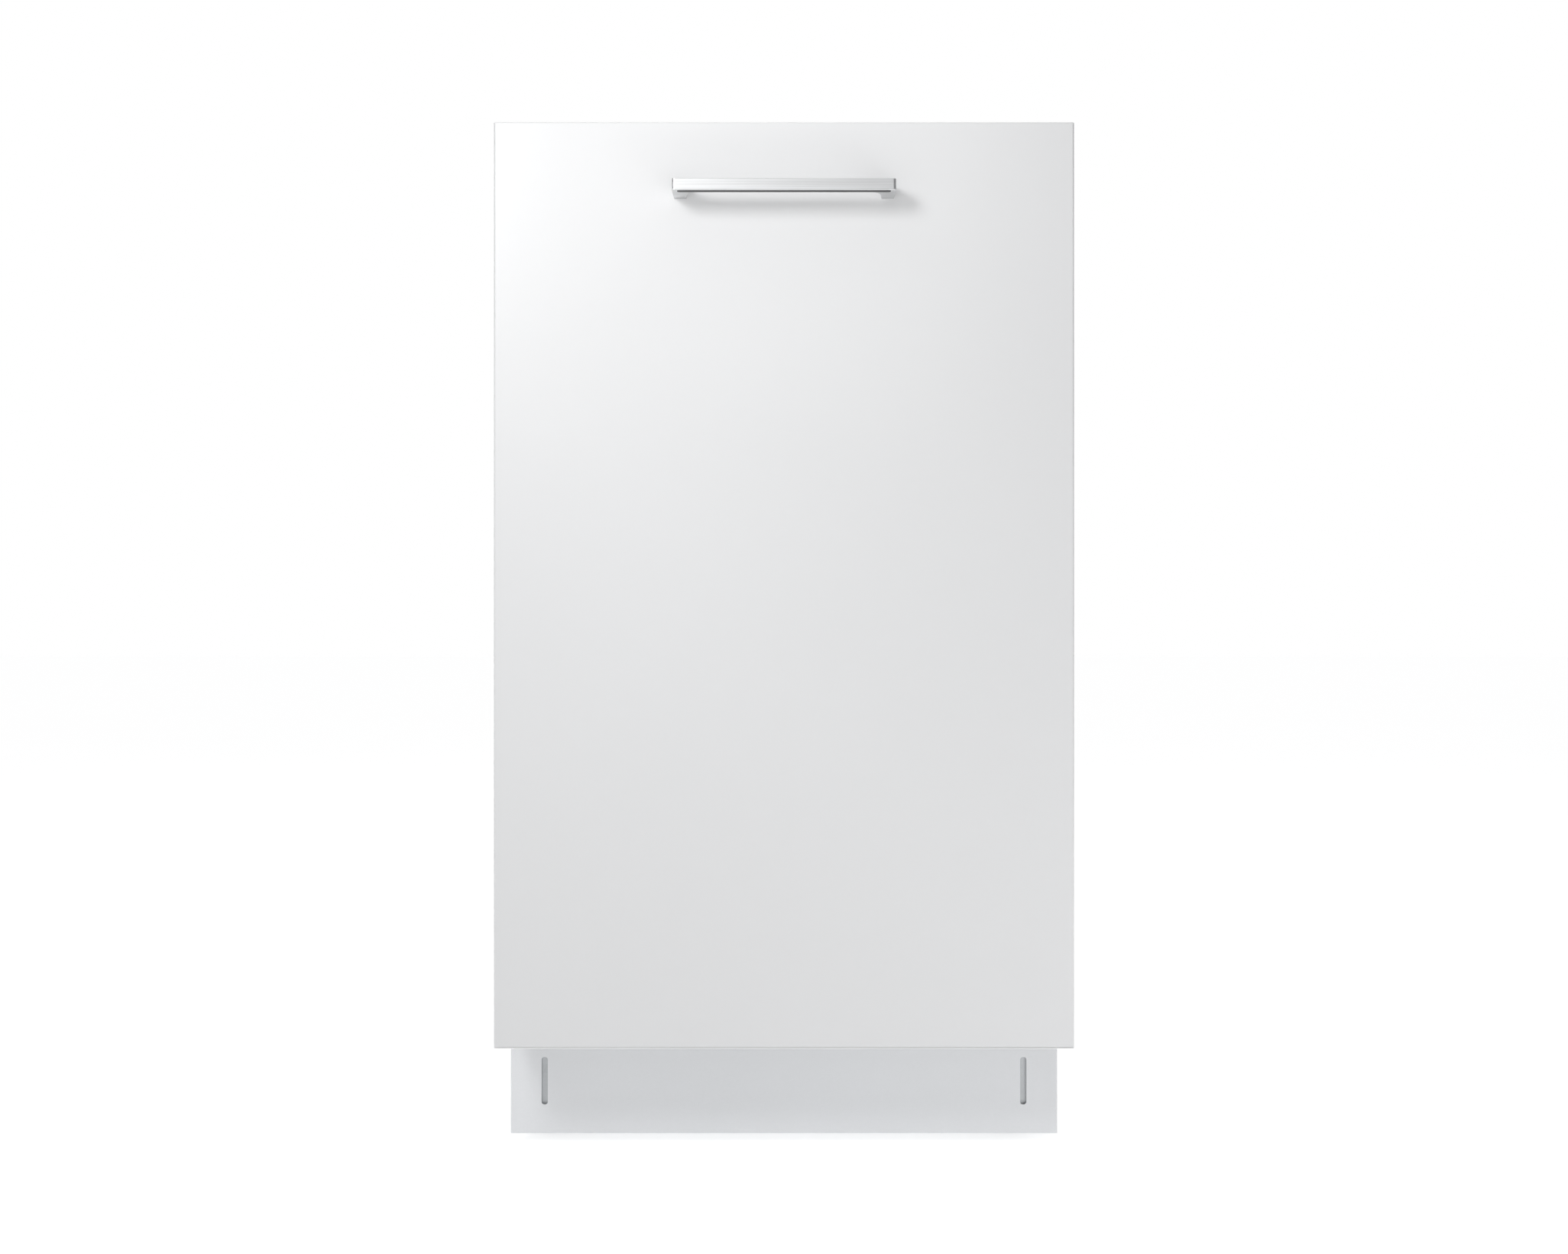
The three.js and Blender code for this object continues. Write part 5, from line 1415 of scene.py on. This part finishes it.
class DISHWASHER_OT_cutlery_basket(bpy.types.Operator):
    """Slatted cutlery basket with ten cells and a carrying bow"""

    bl_idname = "dishwasher.cutlery_basket"
    bl_label = "Cutlery basket"

    def execute(self, context):
        lo, hi = corners("cutlery_basket")
        grey = grey_plastic()
        top = lo.z + 0.122
        basket = Shape()
        walls = rectangle(lo.x, hi.x, lo.y, hi.y, 6 * MM)
        inner = rectangle(lo.x + 2 * MM, hi.x - 2 * MM, lo.y + 2 * MM, hi.y - 2 * MM, 4.5 * MM)
        for low, high in ((lo.z, lo.z + 16 * MM), (lo.z + 56 * MM, lo.z + 62 * MM), (top - 10 * MM, top)):
            basket.add(slab(walls, "Z", low, high, 0.6 * MM, [inner]), grey)
        xs, ys = steps(lo.x + 1 * MM, hi.x - 1 * MM, 3), steps(lo.y + 1 * MM, hi.y - 1 * MM, 6)
        centre, tall = (lo.z + 14 * MM + top - 9 * MM) / 2, top - lo.z - 22 * MM
        sides = [(x, y, centre) for x in (xs[0], xs[2]) for y in steps(lo.y + 6 * MM, hi.y - 6 * MM, 41)]
        basket.add(slats(sides, (1.5 * MM, 1.8 * MM, tall)), grey)
        ends = [(x, y, centre) for y in (ys[0], ys[-1]) for x in steps(lo.x + 6 * MM, hi.x - 6 * MM, 14)]
        basket.add(slats(ends, (1.8 * MM, 1.5 * MM, tall)), grey)
        mid, thin, inset = (lo.x + hi.x) / 2, 0.8 * MM, 1.2 * MM
        for y in ys[1:-1]:
            for low, upper in ((top - 34 * MM, top - 0.6 * MM), (lo.z + 1 * MM, lo.z + 18 * MM)):
                basket.add(block((lo.x + inset, y - thin, low), (hi.x - inset, y + thin, upper),
                                 0.4 * MM), grey)
            posts = [(x, y, centre) for x in steps(lo.x + 8 * MM, hi.x - 8 * MM, 7)]
            basket.add(slats(posts, (1.6 * MM, 1.4 * MM, tall)), grey)
        thin = 0.9 * MM
        for low, upper in ((lo.z + 1 * MM, lo.z + 30 * MM), (top - 40 * MM, top - 0.4 * MM)):
            basket.add(block((mid - thin, lo.y + inset, low), (mid + thin, hi.y - inset, upper),
                             0.4 * MM), grey)
        posts = [(mid, y, centre) for y in steps(lo.y + 8 * MM, hi.y - 8 * MM, 26)]
        basket.add(slats(posts, (1.4 * MM, 1.6 * MM, tall)), grey)
        floor = [(x, (lo.y + hi.y) / 2, lo.z + 1.2 * MM) for x in steps(lo.x + 4 * MM, hi.x - 4 * MM, 16)]
        basket.add(slats(floor, (1.7 * MM, hi.y - lo.y - 4 * MM, 1.6 * MM)), grey)
        floor = [(mid, y, lo.z + 1.2 * MM) for y in steps(lo.y + 5 * MM, hi.y - 5 * MM, 38)]
        basket.add(slats(floor, (hi.x - lo.x - 4 * MM, 1.7 * MM, 1.6 * MM)), grey)
        y0, y1 = lo.y + 0.040, hi.y - 0.040
        bow = filleted([(y0, top - 20 * MM), (y0 + 3 * MM, hi.z), (y1 - 3 * MM, hi.z), (y1, top - 20 * MM)],
                       [0, 12 * MM, 12 * MM, 0], 8)
        under = filleted([(y1 - 9 * MM, top - 20 * MM), (y1 - 11 * MM, hi.z - 8 * MM),
                          (y0 + 11 * MM, hi.z - 8 * MM), (y0 + 9 * MM, top - 20 * MM)],
                         [0, 8 * MM, 8 * MM, 0], 8)
        basket.add(slab(bow + under, "X", mid - 1.9 * MM, mid + 1.9 * MM, 0.9 * MM, rings=3), wheel_plastic())
        basket.put("slatted_cutlery_basket", "cutlery_basket", "grey_plastic", "cutlery_basket")
        return {"FINISHED"}


class DISHWASHER_OT_upper_rack(bpy.types.Operator):
    """Upper rack of bent wire with its roller brackets, feed duct and folding cup shelf"""

    bl_idname = "dishwasher.upper_rack"
    bl_label = "Upper rack and cup shelf"

    def execute(self, context):
        coat = rack_coating()
        lo, hi = corners("upper_rack")
        rack = Shape()
        for mesh in basket_wires(Vector((-0.176, lo.y, lo.z)), Vector((0.176, hi.y, hi.z)), 0.580, 11, 15):
            rack.add(mesh, coat)
        axis = 0.535
        for sign in (-1, 1):
            for y in (-0.14, 0.12):
                x0, x1 = sorted((sign * 0.1745, sign * 0.1848))
                rack.add(block((x0, y - 12 * MM, axis - 9 * MM), (x1, y + 12 * MM, axis + 9 * MM), 2 * MM, 3),
                         wheel_plastic())
                outline = [(0, 184), (6.9, 184), (6.9, 194.8), (3, 195.1), (0, 195.1)]
                rack.add(spun(outline, (0, .5, .8, .2, 0), (0, y, axis), "X", 28, sign=sign), wheel_plastic())
        rack.put("wire_upper_rack", "upper_rack", "rack_coating", "upper_rack")

        def collars(shape):
            lo, hi = corners("upper_feed_duct")
            x = (lo.x + hi.x) / 2
            spots = [(x, y, hi.z - 14.3 * MM) for y in steps(0.05, 0.2, 6)]
            shape.add(slats(spots, (24 * MM, 1.6 * MM, 1.0 * MM)), grey_plastic())
        swept("upper_feed_duct", "grey_plastic", grey_plastic(), 0.9 * MM, "rack_duct", "upper_rack", collars)

        lo, hi = corners("cup_shelf")
        z = (lo.z + hi.z) / 2
        thin = 1.35 * MM
        x0, x1, y0, y1 = lo.x + thin, hi.x - thin, lo.y + thin, hi.y - thin
        shelf = Shape()
        shelf.add(wires([level(x0, x1, y0, y1, z)], thin, 10 * MM), coat)
        cross = [straight((x0, y, z), (x1, y, z)) for y in steps(y0 + 0.012, y1 - 0.012, 12)]
        run = [straight((x, y0, z), (x, y1, z)) for x in steps(x0, x1, 4)[1:-1]]
        shelf.add(wires(cross + run, thin * 0.85, 0.0), coat)
        for y in (-0.085, 0.055):
            shelf.add(block((lo.x + 0.2 * MM, y - 7 * MM, lo.z), (lo.x + 9 * MM, y + 7 * MM, hi.z),
                            1 * MM, 3), wheel_plastic())
        shelf.put("wire_cup_shelf", "cup_shelf", "rack_coating", "cup_shelf")
        return {"FINISHED"}


# ---------------------------------------------------------------- water ways
def jets(shape, radius, y, z):
    """Jets along both blades, and one at each tip."""
    places = ((0.28, 7), (0.42, -5), (0.56, 4), (0.7, -4), (0.86, 1))
    spots = [(sign * share * radius, y + sign * aside * MM, z) for sign in (-1, 1) for share, aside in places]
    shape.add(heads(spots, (0, 0, 1), sizes().jet, 1.1 * MM, 0.45, 1.2 * MM, 16), wheel_plastic())


class DISHWASHER_OT_spray_arms(bpy.types.Operator):
    """Two pressed spray arms with their jets, and the small head under the ceiling"""

    bl_idname = "dishwasher.spray_arms"
    bl_label = "Spray arms"

    def execute(self, context):
        for name, reach, low, high, (x, y), hollow in (
                ("lower_spray_arm", 0.155, 0.136, 0.145, (0, 0.045), True),
                ("upper_spray_arm", 0.160, 0.458, 0.466, (0, 0.020), False)):
            lo, hi = corners(name)
            tip = reach / MM
            right = [(0, -19), (tip - 13, -12), (tip - 1.5, -10), (tip - 1.5, 10), (tip - 13, 12), (0, 19)]
            outline = right + [(-u, v) for u, v in reversed(right)][1:-1]
            blade, flange = (filleted([(x + u * a * MM, y + v * b * MM) for u, v in outline], 7 * MM, 6)
                             for a, b in ((1, 1), (1.004, 1.03)))
            arm = Shape()
            seam = (low + high) / 2
            steel = stainless("X")
            arm.add(slab(blade, "Z", low + 0.4 * MM, high, 2.9 * MM, rings=5), steel)
            arm.add(slab(flange, "Z", seam - 0.5 * MM, seam + 0.5 * MM, 0.3 * MM), steel)
            for sign in (-1, 1):
                spots = [(x + sign * 0.085, y, high - 0.1 * MM)]
                arm.add(ridges(spots, (0, 0, 1), (1, 0, 0), 0.09, 7 * MM, 1.0 * MM), steel)
            bore = (10.5 if hollow else 9.5) * MM
            boss = bore + 5.2 * MM
            collar = [(boss + 2 * MM, low + 1 * MM), (boss + 2 * MM, high - 0.5 * MM),
                      (boss, high + 0.6 * MM)]
            if hollow:
                hub = [(bore, lo.z), (boss, lo.z), (boss, low), *collar, (boss - 1 * MM, hi.z), (0, hi.z),
                       (0, 0.1412), (bore, 0.1412), (bore, lo.z)]
            else:
                foot = lo.z + 0.2 * MM
                hub = [(0, foot), (boss - 1 * MM, foot), (boss, low + 0.5 * MM), *collar,
                       (boss - 0.4 * MM, hi.z), (bore, hi.z), (bore, low + 0.8 * MM), (0, low + 0.8 * MM)]
            arm.add(lathed(hub, (x, y, 0), sides=40), wheel_plastic())
            jets(arm, reach, y, high + 0.1 * MM)
            arm.put(name.replace("arm", "rotor"), name, "stainless_steel", name)

        x, y, _ = middle("top_spray_head")
        z = corners("top_spray_head")[0].z
        outline = [(0, 0), (29, 0), (43.6, 6), (43.6, 11), (16, 15), (12, 17.8), (6.6, 17.8), (6.6, 3.2),
                   (0, 3.2)]
        head = Shape()
        head.add(spun(outline, (0, 2, 1.6, 1.6, 2, .8, .4, .6, 0), (x, y, z), sides=56), grey_plastic())
        for radius, count, lift in ((12, 5, 0), (22, 8, 0), (36, 10, 2.8)):
            spots = around(x, y, z + lift * MM, radius * MM, count)
            head.add(heads(spots, (0, 0, -1), 1.6 * MM, 0.8 * MM, 0.5, 0.8 * MM, 12), wheel_plastic())
        head.put("ceiling_spray_head", "top_spray_head", "grey_plastic", "top_spray_head")
        return {"FINISHED"}


class DISHWASHER_OT_filters(bpy.types.Operator):
    """Perforated filter plate, the filter cup and the salt container's cap"""

    bl_idname = "dishwasher.filters"
    bl_label = "Filters and salt cap"

    def execute(self, context):
        lo, hi = corners("filter_plate")
        cup_lo, cup_hi = corners("filter_cup")
        x, y, _ = middle("filter_plate")
        u, v, _ = middle("filter_cup")
        radius = hi.x - x
        plate = Shape()
        plate.add(slab(circle(x, y, radius, 64), "Z", lo.z, hi.z, 0.4 * MM,
                       [circle(u, v, 35 * MM), circle(0, 45 * MM, 10.6 * MM)]), perforated_steel())
        plate.add(slab(circle(x, y, radius, 64), "Z", lo.z + 0.1 * MM, hi.z + 0.8 * MM, 0.4 * MM,
                       [circle(x, y, radius - 5 * MM, 64)]), stainless("X"))
        plate.put("fine_filter", "cabinet", "stainless_steel", "filter_plate")

        seat = cup_hi.z - 5 * MM
        ring = filleted([(31.5, -40), (33.6, -40), (33.6, 0), (38.6, 0), (38.6, 2), (32.5, 2)],
                        [.3, .3, .3, .5, .8, .6], 3)
        cup = Shape()
        cup.add(lathed(in_mm(ring), (u, v, seat), sides=56, ring=True), grey_plastic())
        floor = in_mm([(0, 0), (33.6, 0), (33.6, 2), (0, 2)])
        cup.add(lathed(floor, (u, v, cup_lo.z), sides=56), grey_plastic())
        cup.add(block((u - 31.8 * MM, v - 2.4 * MM, seat - 20 * MM), (u + 31.8 * MM, v + 2.4 * MM, cup_hi.z),
                      1.2 * MM, 3), grey_plastic())
        tall = seat - 38 * MM - cup_lo.z
        staves = around(u, v, cup_lo.z + tall / 2 + 1 * MM, 32.6 * MM, 40)
        cup.add(slats(staves, (1.6 * MM, 1.6 * MM, tall)), grey_plastic())
        cup.put("lift_out_filter", "filter_cup", "grey_plastic", "filter_cup")

        lo, hi = corners("salt_cap")
        x, y, _ = middle("salt_cap")
        z, radius = lo.z, hi.x - x
        rim = radius / MM
        outline = [(0, 0), (rim - .3, 0), (rim - .3, 3), (rim - 3, 4.9), (rim - 6, 4.9), (rim - 7, 3.9),
                   (0, 3.9)]
        cap = Shape()
        cap.add(spun(outline, (0, .4, .8, .8, .5, .5, 0), (x, y, z), sides=56), wheel_plastic())
        grip = radius - 9 * MM
        cap.add(block((x - grip, y - 2 * MM, z + 3 * MM), (x + grip, y + 2 * MM, hi.z), 1.4 * MM, 3),
                wheel_plastic())
        spots = around(x, y, z + 1.5 * MM, radius - 0.7 * MM, 36)
        cap.add(heads(spots, (0, 0, 1), 0.7 * MM, 2.2 * MM, 0.5, 0.1 * MM, 8), wheel_plastic())
        cap.put("salt_container_cap", "salt_cap", "grey_plastic", "salt_cap")
        return {"FINISHED"}


class DISHWASHER_OT_works(bpy.types.Operator):
    """Working parts in the base: sump, pump, softener, valve and gland, and the tub's feed pipe"""

    bl_idname = "dishwasher.works"
    bl_label = "Pump, softener and valve"

    def execute(self, context):
        def sump_ribs(shape):
            x, y, _ = middle("sump")
            z = corners("sump")[1].z - 18 * MM
            spots = [spot for spot in around(x, y, z, 95.6 * MM, 28) if abs(spot[0] - x) < 0.98 * 95.6 * MM]
            shape.add(slats(spots, (1.6 * MM, 1.6 * MM, 30 * MM)), grey_plastic())
        swept("sump", "grey_plastic", grey_plastic(), 0.6 * MM, "moulded_sump", "cabinet", sump_ribs)

        y, z = 0.152, 0.070
        pump = Shape()
        drums = (
            (black_plastic(), 36, [(0, -62), (27, -62), (28.5, -60.5), (28.5, -50), (0, -50)]),
            (copper(), 36, [(0, -50.5), (31.5, -50.5), (32.5, -46), (32.5, -32), (0, -32)]),
            (zinc_plated(), 48, [(0, -32.5), (34, -32.5), (34, 2), (0, 2)]),
            (copper(), 36, [(0, 1.5), (32.5, 1.5), (32.5, 14), (31.5, 18), (0, 18)]),
            (black_plastic(), 48, [(0, 17.5), (31, 17.5), (26, 26), (24, 30), (37.5, 32.5), (38, 34),
                                   (38, 50), (36, 52), (13, 53.5), (12, 54), (0, 54)]))
        for material, sides, outline in drums:
            pump.add(lathed(in_mm(outline), (0, y, z), "X", sides), material)
        outlet = in_mm([(0, 96.5), (11.8, 96.5), (11.8, 150), (0, 150)])
        pump.add(lathed(outlet, (0.042, 0, z), "Y", 28), black_plastic())
        pump.add(block((-.045, y - .022, .0254), (.005, y + .022, .050), 1.2 * MM), black_plastic())
        fins = [(x * MM, y, z + .0335) for x in steps(-30, 0, 13)]
        pump.add(slats(fins, (0.7 * MM, 18 * MM, 0.9 * MM)), zinc_plated())
        pump.put("motor_pump", "cabinet", "black_plastic", "circulation_pump")

        def tank_ribs(shape):
            lo, hi = corners("water_softener")
            spots = [(lo.x + 0.3 * MM, y, 0.072) for y in steps(lo.y + 0.03, hi.y - 0.03, 6)]
            shape.add(slats(spots, (1.6 * MM, 2.4 * MM, 70 * MM)), white_plastic())
        swept("water_softener", "grey_plastic", white_plastic(), 1.6 * MM, "salt_container", "cabinet",
              tank_ribs)

        def thread(shape):
            back = corners(node)[1].y
            spots = [(x, back - d * MM, 0.062) for d in (1.6, 3.4, 5.2, 7.0)]
            values = {"Radius": radius, "Height": 0.8 * MM, "Recess": 0.7, "Recess Depth": 0.0, "Sides": 28,
                      "Turn": turned((0, 1, 0))}
            bore, deep, out = radius - 1.6 * MM, back - 20 * MM, back + 2 * MM
            core = lathed([(0, deep), (bore, deep), (bore, out), (0, out)], (x, 0, 0.062), "Y", 28)
            shape.add(carved(grown(studs(), values, spots), core), material)
        for node, x, radius, material, edge, name in (
                ("inlet_valve", 0.150, 13.0 * MM, white_plastic(), 0.5 * MM, "water_valve"),
                ("cable_gland", -0.150, 8.0 * MM, black_plastic(), 0.4 * MM, "ribbed_gland")):
            swept(node, "black_plastic", material, edge, name, "cabinet", thread)

        def clips(shape):
            back = corners("feed_pipe")[1].y - 8 * MM
            spots = [(0, back, z) for z in (0.2, 0.33, 0.6, 0.71)]
            shape.add(slats(spots, (27.6 * MM, 17.2 * MM, 5 * MM)), wheel_plastic())
        swept("feed_pipe", "grey_plastic", grey_plastic(), 2.2 * MM, "riser_pipe", "cabinet", clips)
        return {"FINISHED"}


# ---------------------------------------------------------------- stage
class DISHWASHER_OT_stage(bpy.types.Operator):
    """Pale floor, soft light and a level camera straight in front"""

    bl_idname = "dishwasher.stage"
    bl_label = "Stage, light and camera"

    def execute(self, context):
        scene = context.scene
        setup = scene.dishwasher_stage
        work = bmesh.new()
        bmesh.ops.create_grid(work, x_segments=1, y_segments=1, size=30)
        mesh = bpy.data.meshes.new("studio_floor")
        work.to_mesh(mesh)
        work.free()
        mesh.materials.append(studio_white())
        floor = linked("studio_floor", mesh)

        world = bpy.data.worlds.new("studio")
        world.use_nodes = True
        scene.world = world
        sky = Tree(world.node_tree)
        seen = sky.node("ShaderNodeLightPath", None, (), "Is Camera Ray")
        _, y, z = sky.split(sky.node("ShaderNodeTexCoord", None, (), "Generated"))
        rear = sky.node("ShaderNodeMapRange", None,
                        {"Value": y * 0.8 + z * 0.4, "From Min": -0.5, "From Max": 0.7})
        tone = sky.node("ShaderNodeMix", {"data_type": "RGBA"},
                        {0: rear, 6: rgba((0.195, 0.2, 0.208)), 7: rgba((1.0, 1.0, 1.0))}, 2)
        dim = sky.node("ShaderNodeBackground", None, {"Color": tone, "Strength": setup.fill})
        white = sky.node("ShaderNodeBackground", None, {"Color": (1, 1, 1, 1), "Strength": 1.0})
        both = sky.node("ShaderNodeMixShader", None, [seen, dim, white])
        sky.node("ShaderNodeOutputWorld", None, [both])

        for name, power, size, place, target, spread in (
                ("key_light", setup.key, 0.4, (-0.60, -1.32, 1.06), (-0.12, -0.27, 0.62), 86),
                ("overhead_light", 0.3, 0.4, (0.0, -0.56, 0.97), (0, -0.27, 0.55), 180),
                ("low_light", 0.6, 0.2, (0.60, -0.80, 0.12), (0.12, -0.2, 0.1), 180),
                ("front_softbox", 2.9, 1.1, (-0.15, -3.6, 1.45), (0, -0.26, 0.6), 180),
                ("top_light", 10, 1.6, (0.0, 0.3, 2.6), (0, 0.2, 0), 180),
                ("back_light", 5, 1.4, (1.6, 2.2, 1.7), (0, 0.1, 0.4), 180)):
            light = bpy.data.lights.new(name, "AREA")
            light.energy = power
            light.size = size
            light.spread = math.radians(spread)
            lamp = linked(name, light)
            lamp.location = place
            lamp.rotation_euler = (Vector(target) - Vector(place)).to_track_quat("-Z", "Y").to_euler()
            lamp.visible_camera = False

        camera = bpy.data.cameras.new("camera")
        camera.lens = 50
        camera.sensor_width = 36
        view = linked("camera", camera)
        view.location = (0, FRONT[0].y - setup.distance, setup.height)
        view.rotation_euler = (math.pi / 2, 0, 0)
        scene.camera = view
        scene.view_settings.view_transform = "Standard"
        return {"FINISHED"}


# ---------------------------------------------------------------- panel and run
MAKERS = (
    DISHWASHER_OT_stage, DISHWASHER_OT_front, DISHWASHER_OT_kick_plate, DISHWASHER_OT_cabinet,
    DISHWASHER_OT_insulation, DISHWASHER_OT_base, DISHWASHER_OT_tub, DISHWASHER_OT_rails,
    DISHWASHER_OT_hinges, DISHWASHER_OT_door, DISHWASHER_OT_controls, DISHWASHER_OT_dispenser,
    DISHWASHER_OT_lower_rack, DISHWASHER_OT_cutlery_basket, DISHWASHER_OT_upper_rack,
    DISHWASHER_OT_spray_arms, DISHWASHER_OT_filters, DISHWASHER_OT_works,
)


class DISHWASHER_PT_pieces(bpy.types.Panel):
    """Sizes, colours and makers of the dishwasher"""

    bl_label = "Built-in Dishwasher"
    bl_idname = "DISHWASHER_PT_pieces"
    bl_space_type = "VIEW_3D"
    bl_region_type = "UI"
    bl_category = "Dishwasher"

    def draw(self, context):
        for group in ("dishwasher_sizes", "dishwasher_colours", "dishwasher_stage"):
            settings = getattr(context.scene, group)
            column = self.layout.box().column()
            for name in settings.__annotations__:
                column.prop(settings, name)
        column = self.layout.column()
        for maker in MAKERS:
            column.operator(maker.bl_idname)


GROUPS = {"dishwasher_sizes": DishwasherSizes, "dishwasher_colours": DishwasherColours,
          "dishwasher_stage": DishwasherStage}


def register():
    for cls in (*GROUPS.values(), *MAKERS, DISHWASHER_PT_pieces):
        bpy.utils.register_class(cls)
    for name, cls in GROUPS.items():
        setattr(bpy.types.Scene, name, bpy.props.PointerProperty(type=cls))


def unregister():
    for name in GROUPS:
        delattr(bpy.types.Scene, name)
    for cls in (DISHWASHER_PT_pieces, *reversed(MAKERS), *GROUPS.values()):
        bpy.utils.unregister_class(cls)


def main():
    register()
    for maker in MAKERS:
        getattr(bpy.ops.dishwasher, maker.bl_idname.split(".")[1])()


if __name__ == "__main__":
    main()
